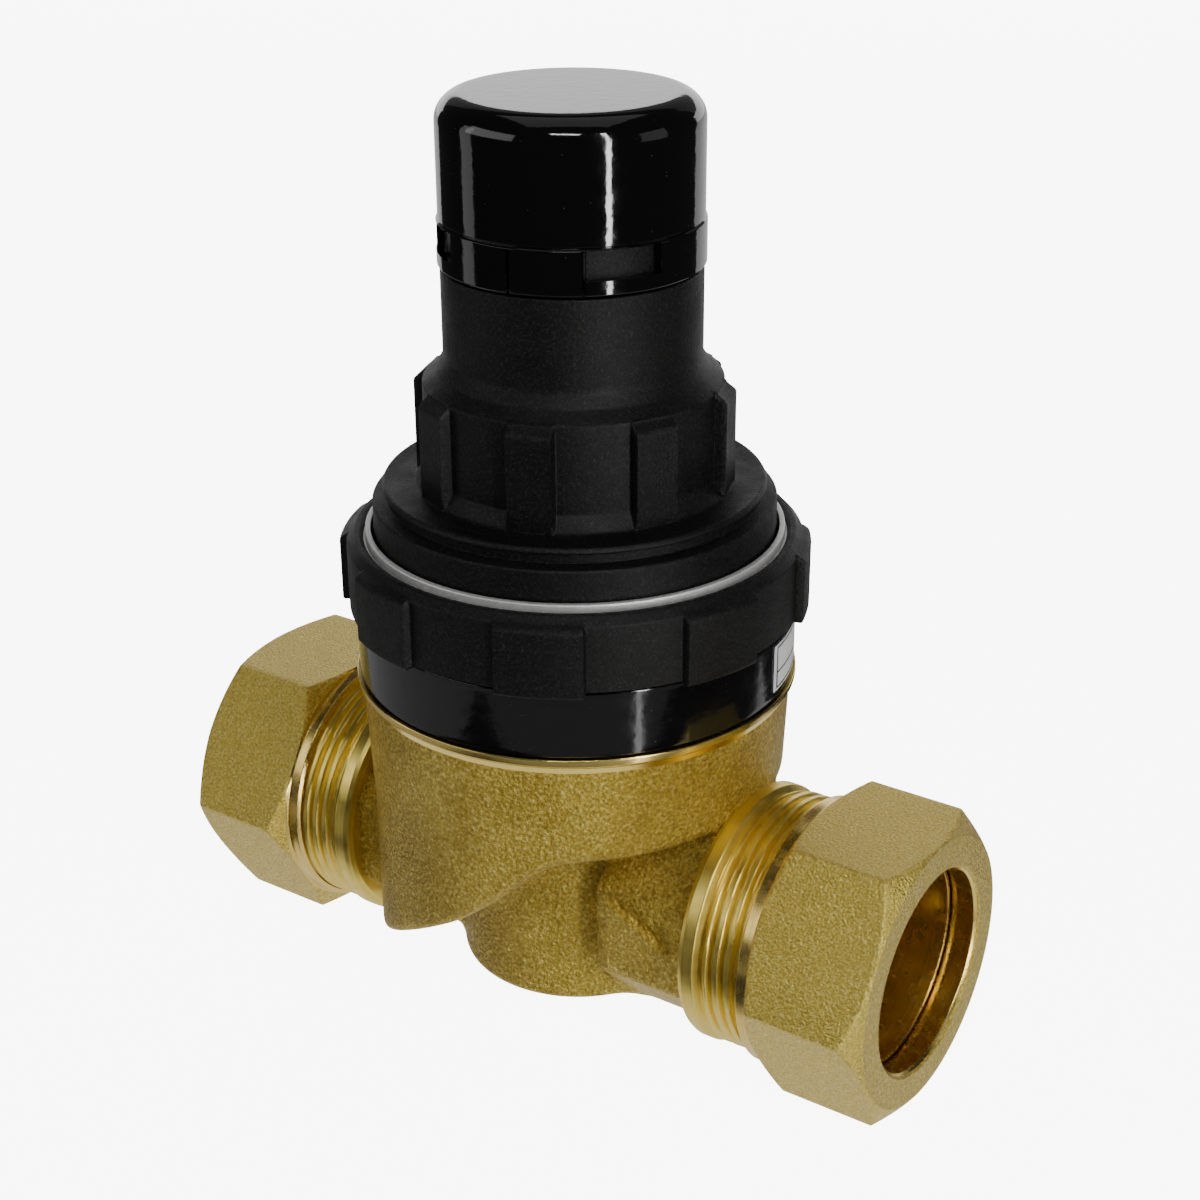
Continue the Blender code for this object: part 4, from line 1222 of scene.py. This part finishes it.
def softbox(name, azimuth, distance, low, high, width, brightness, lean=None):
    """A soft light at this azimuth round the object, upright from low to high unless it leans at the object.
    Brightness is that of its face, so that its size and its brightness are set apart."""
    data = bpy.data.lights.new(name, "AREA")
    data.shape = "RECTANGLE"
    data.size = width
    data.size_y = high - low
    data.energy = math.pi * brightness * width * (high - low)
    obj = bpy.data.objects.new(name, data)
    bpy.context.scene.collection.objects.link(obj)
    turn = math.radians(azimuth)
    height = (low + high) / 2
    place = Vector((distance * math.cos(turn), distance * math.sin(turn), height))
    target = Vector((0.0, 0.0, height if lean is None else lean))
    obj.visible_camera = False
    return aimed(obj, place, target)


def backdrop(name, work):
    """A plain glowing surface that only the camera sees."""
    mesh = bpy.data.meshes.new(name)
    work.to_mesh(mesh)
    work.free()
    obj = bpy.data.objects.new(name, mesh)
    bpy.context.scene.collection.objects.link(obj)
    obj.visible_glossy = False
    obj.visible_diffuse = False
    obj.visible_shadow = False
    s = Shader(name, Roughness=1.0, Emission_Strength=BACKDROP_GLOW)
    s.principled.inputs["Specular IOR Level"].default_value = 0.0
    s.principled.inputs["Emission Color"].default_value = WHITE
    s.set("Base Color", s.spread(s.noise(0.01), BACKDROP_GREY, BACKDROP_GREY * 1.03))
    mesh.materials.append(s.material)


def studio():
    """A pale floor and sky for the camera, soft lights round the object and the light that a floor sends
    back up."""
    floor = bmesh.new()
    bmesh.ops.create_grid(floor, x_segments=1, y_segments=1, size=FLOOR_HALF)
    backdrop("floor", floor)
    sky = bmesh.new()
    bmesh.ops.create_icosphere(sky, subdivisions=4, radius=SKY_RADIUS)
    backdrop("sky", sky)
    softbox("back_wall_low", 117, 0.80, -0.30, 0.06, 1.5, 0.8)
    softbox("back_wall", 117, 0.80, 0.06, 0.32, 1.5, 1.6)
    softbox("back_wall_high", 117, 0.80, 0.32, 0.75, 1.2, 0.1)
    softbox("right_window", 18, 0.62, 0.02, 0.36, 0.30, 0.45)
    softbox("tall_strip", -24, 0.36, -0.06, 0.42, 0.026, 26.0)
    softbox("low_strip", -24, 0.36, -0.20, -0.06, 0.020, 4.0)
    softbox("left_window", -128, 0.62, 0.15, 0.44, 0.55, 1.4)
    softbox("left_edge", -151, 0.50, -0.10, 0.30, 0.12, 0.8)
    softbox("front_lamp", -60, 0.50, 0.55, 0.60, 0.24, 24.0, lean=0.08)
    overhead = softbox("overhead", 0, 0.0, 0.0, 0.60, 0.60, 0.4)
    aimed(overhead, Vector((-0.05, 0.08, 0.75)), Vector((0.0, 0.0, 0.05)))
    bounce = softbox("floor_bounce", 0, 0.0, 0.0, 0.70, 0.70, 0.8)
    aimed(bounce, Vector((0.0, 0.15, -0.25)), Vector((0.0, 0.15, 1.0)))
    card_distance, card_height = 0.19, -0.03
    for name, azimuth, brightness in (("front_bounce", -54.7, 0.22), ("left_bounce", -150.0, 0.3)):
        turn = math.radians(azimuth)
        card = softbox(name, 0, 0.0, 0.0, 0.14, 0.45, brightness)
        card.location = (card_distance * math.cos(turn), card_distance * math.sin(turn), card_height)
        card.rotation_euler = (math.pi, 0.0, turn + math.pi / 2)
    world = bpy.data.worlds.new("studio")
    bpy.context.scene.world = world
    world.use_nodes = True
    background = world.node_tree.nodes["Background"]
    background.inputs["Color"].default_value = WHITE
    background.inputs["Strength"].default_value = AMBIENT


camera()
studio()
casting()
machined_neck()
for direction, end in ((1, "outlet"), (-1, "inlet")):
    male_end(direction, end)
    compression_nut(direction, end)
    olive(direction, end)
band()
label()
ring_nut()
washer()
bonnet()
cap()
adjusting_screw()
spring()
keep_inner_pieces()
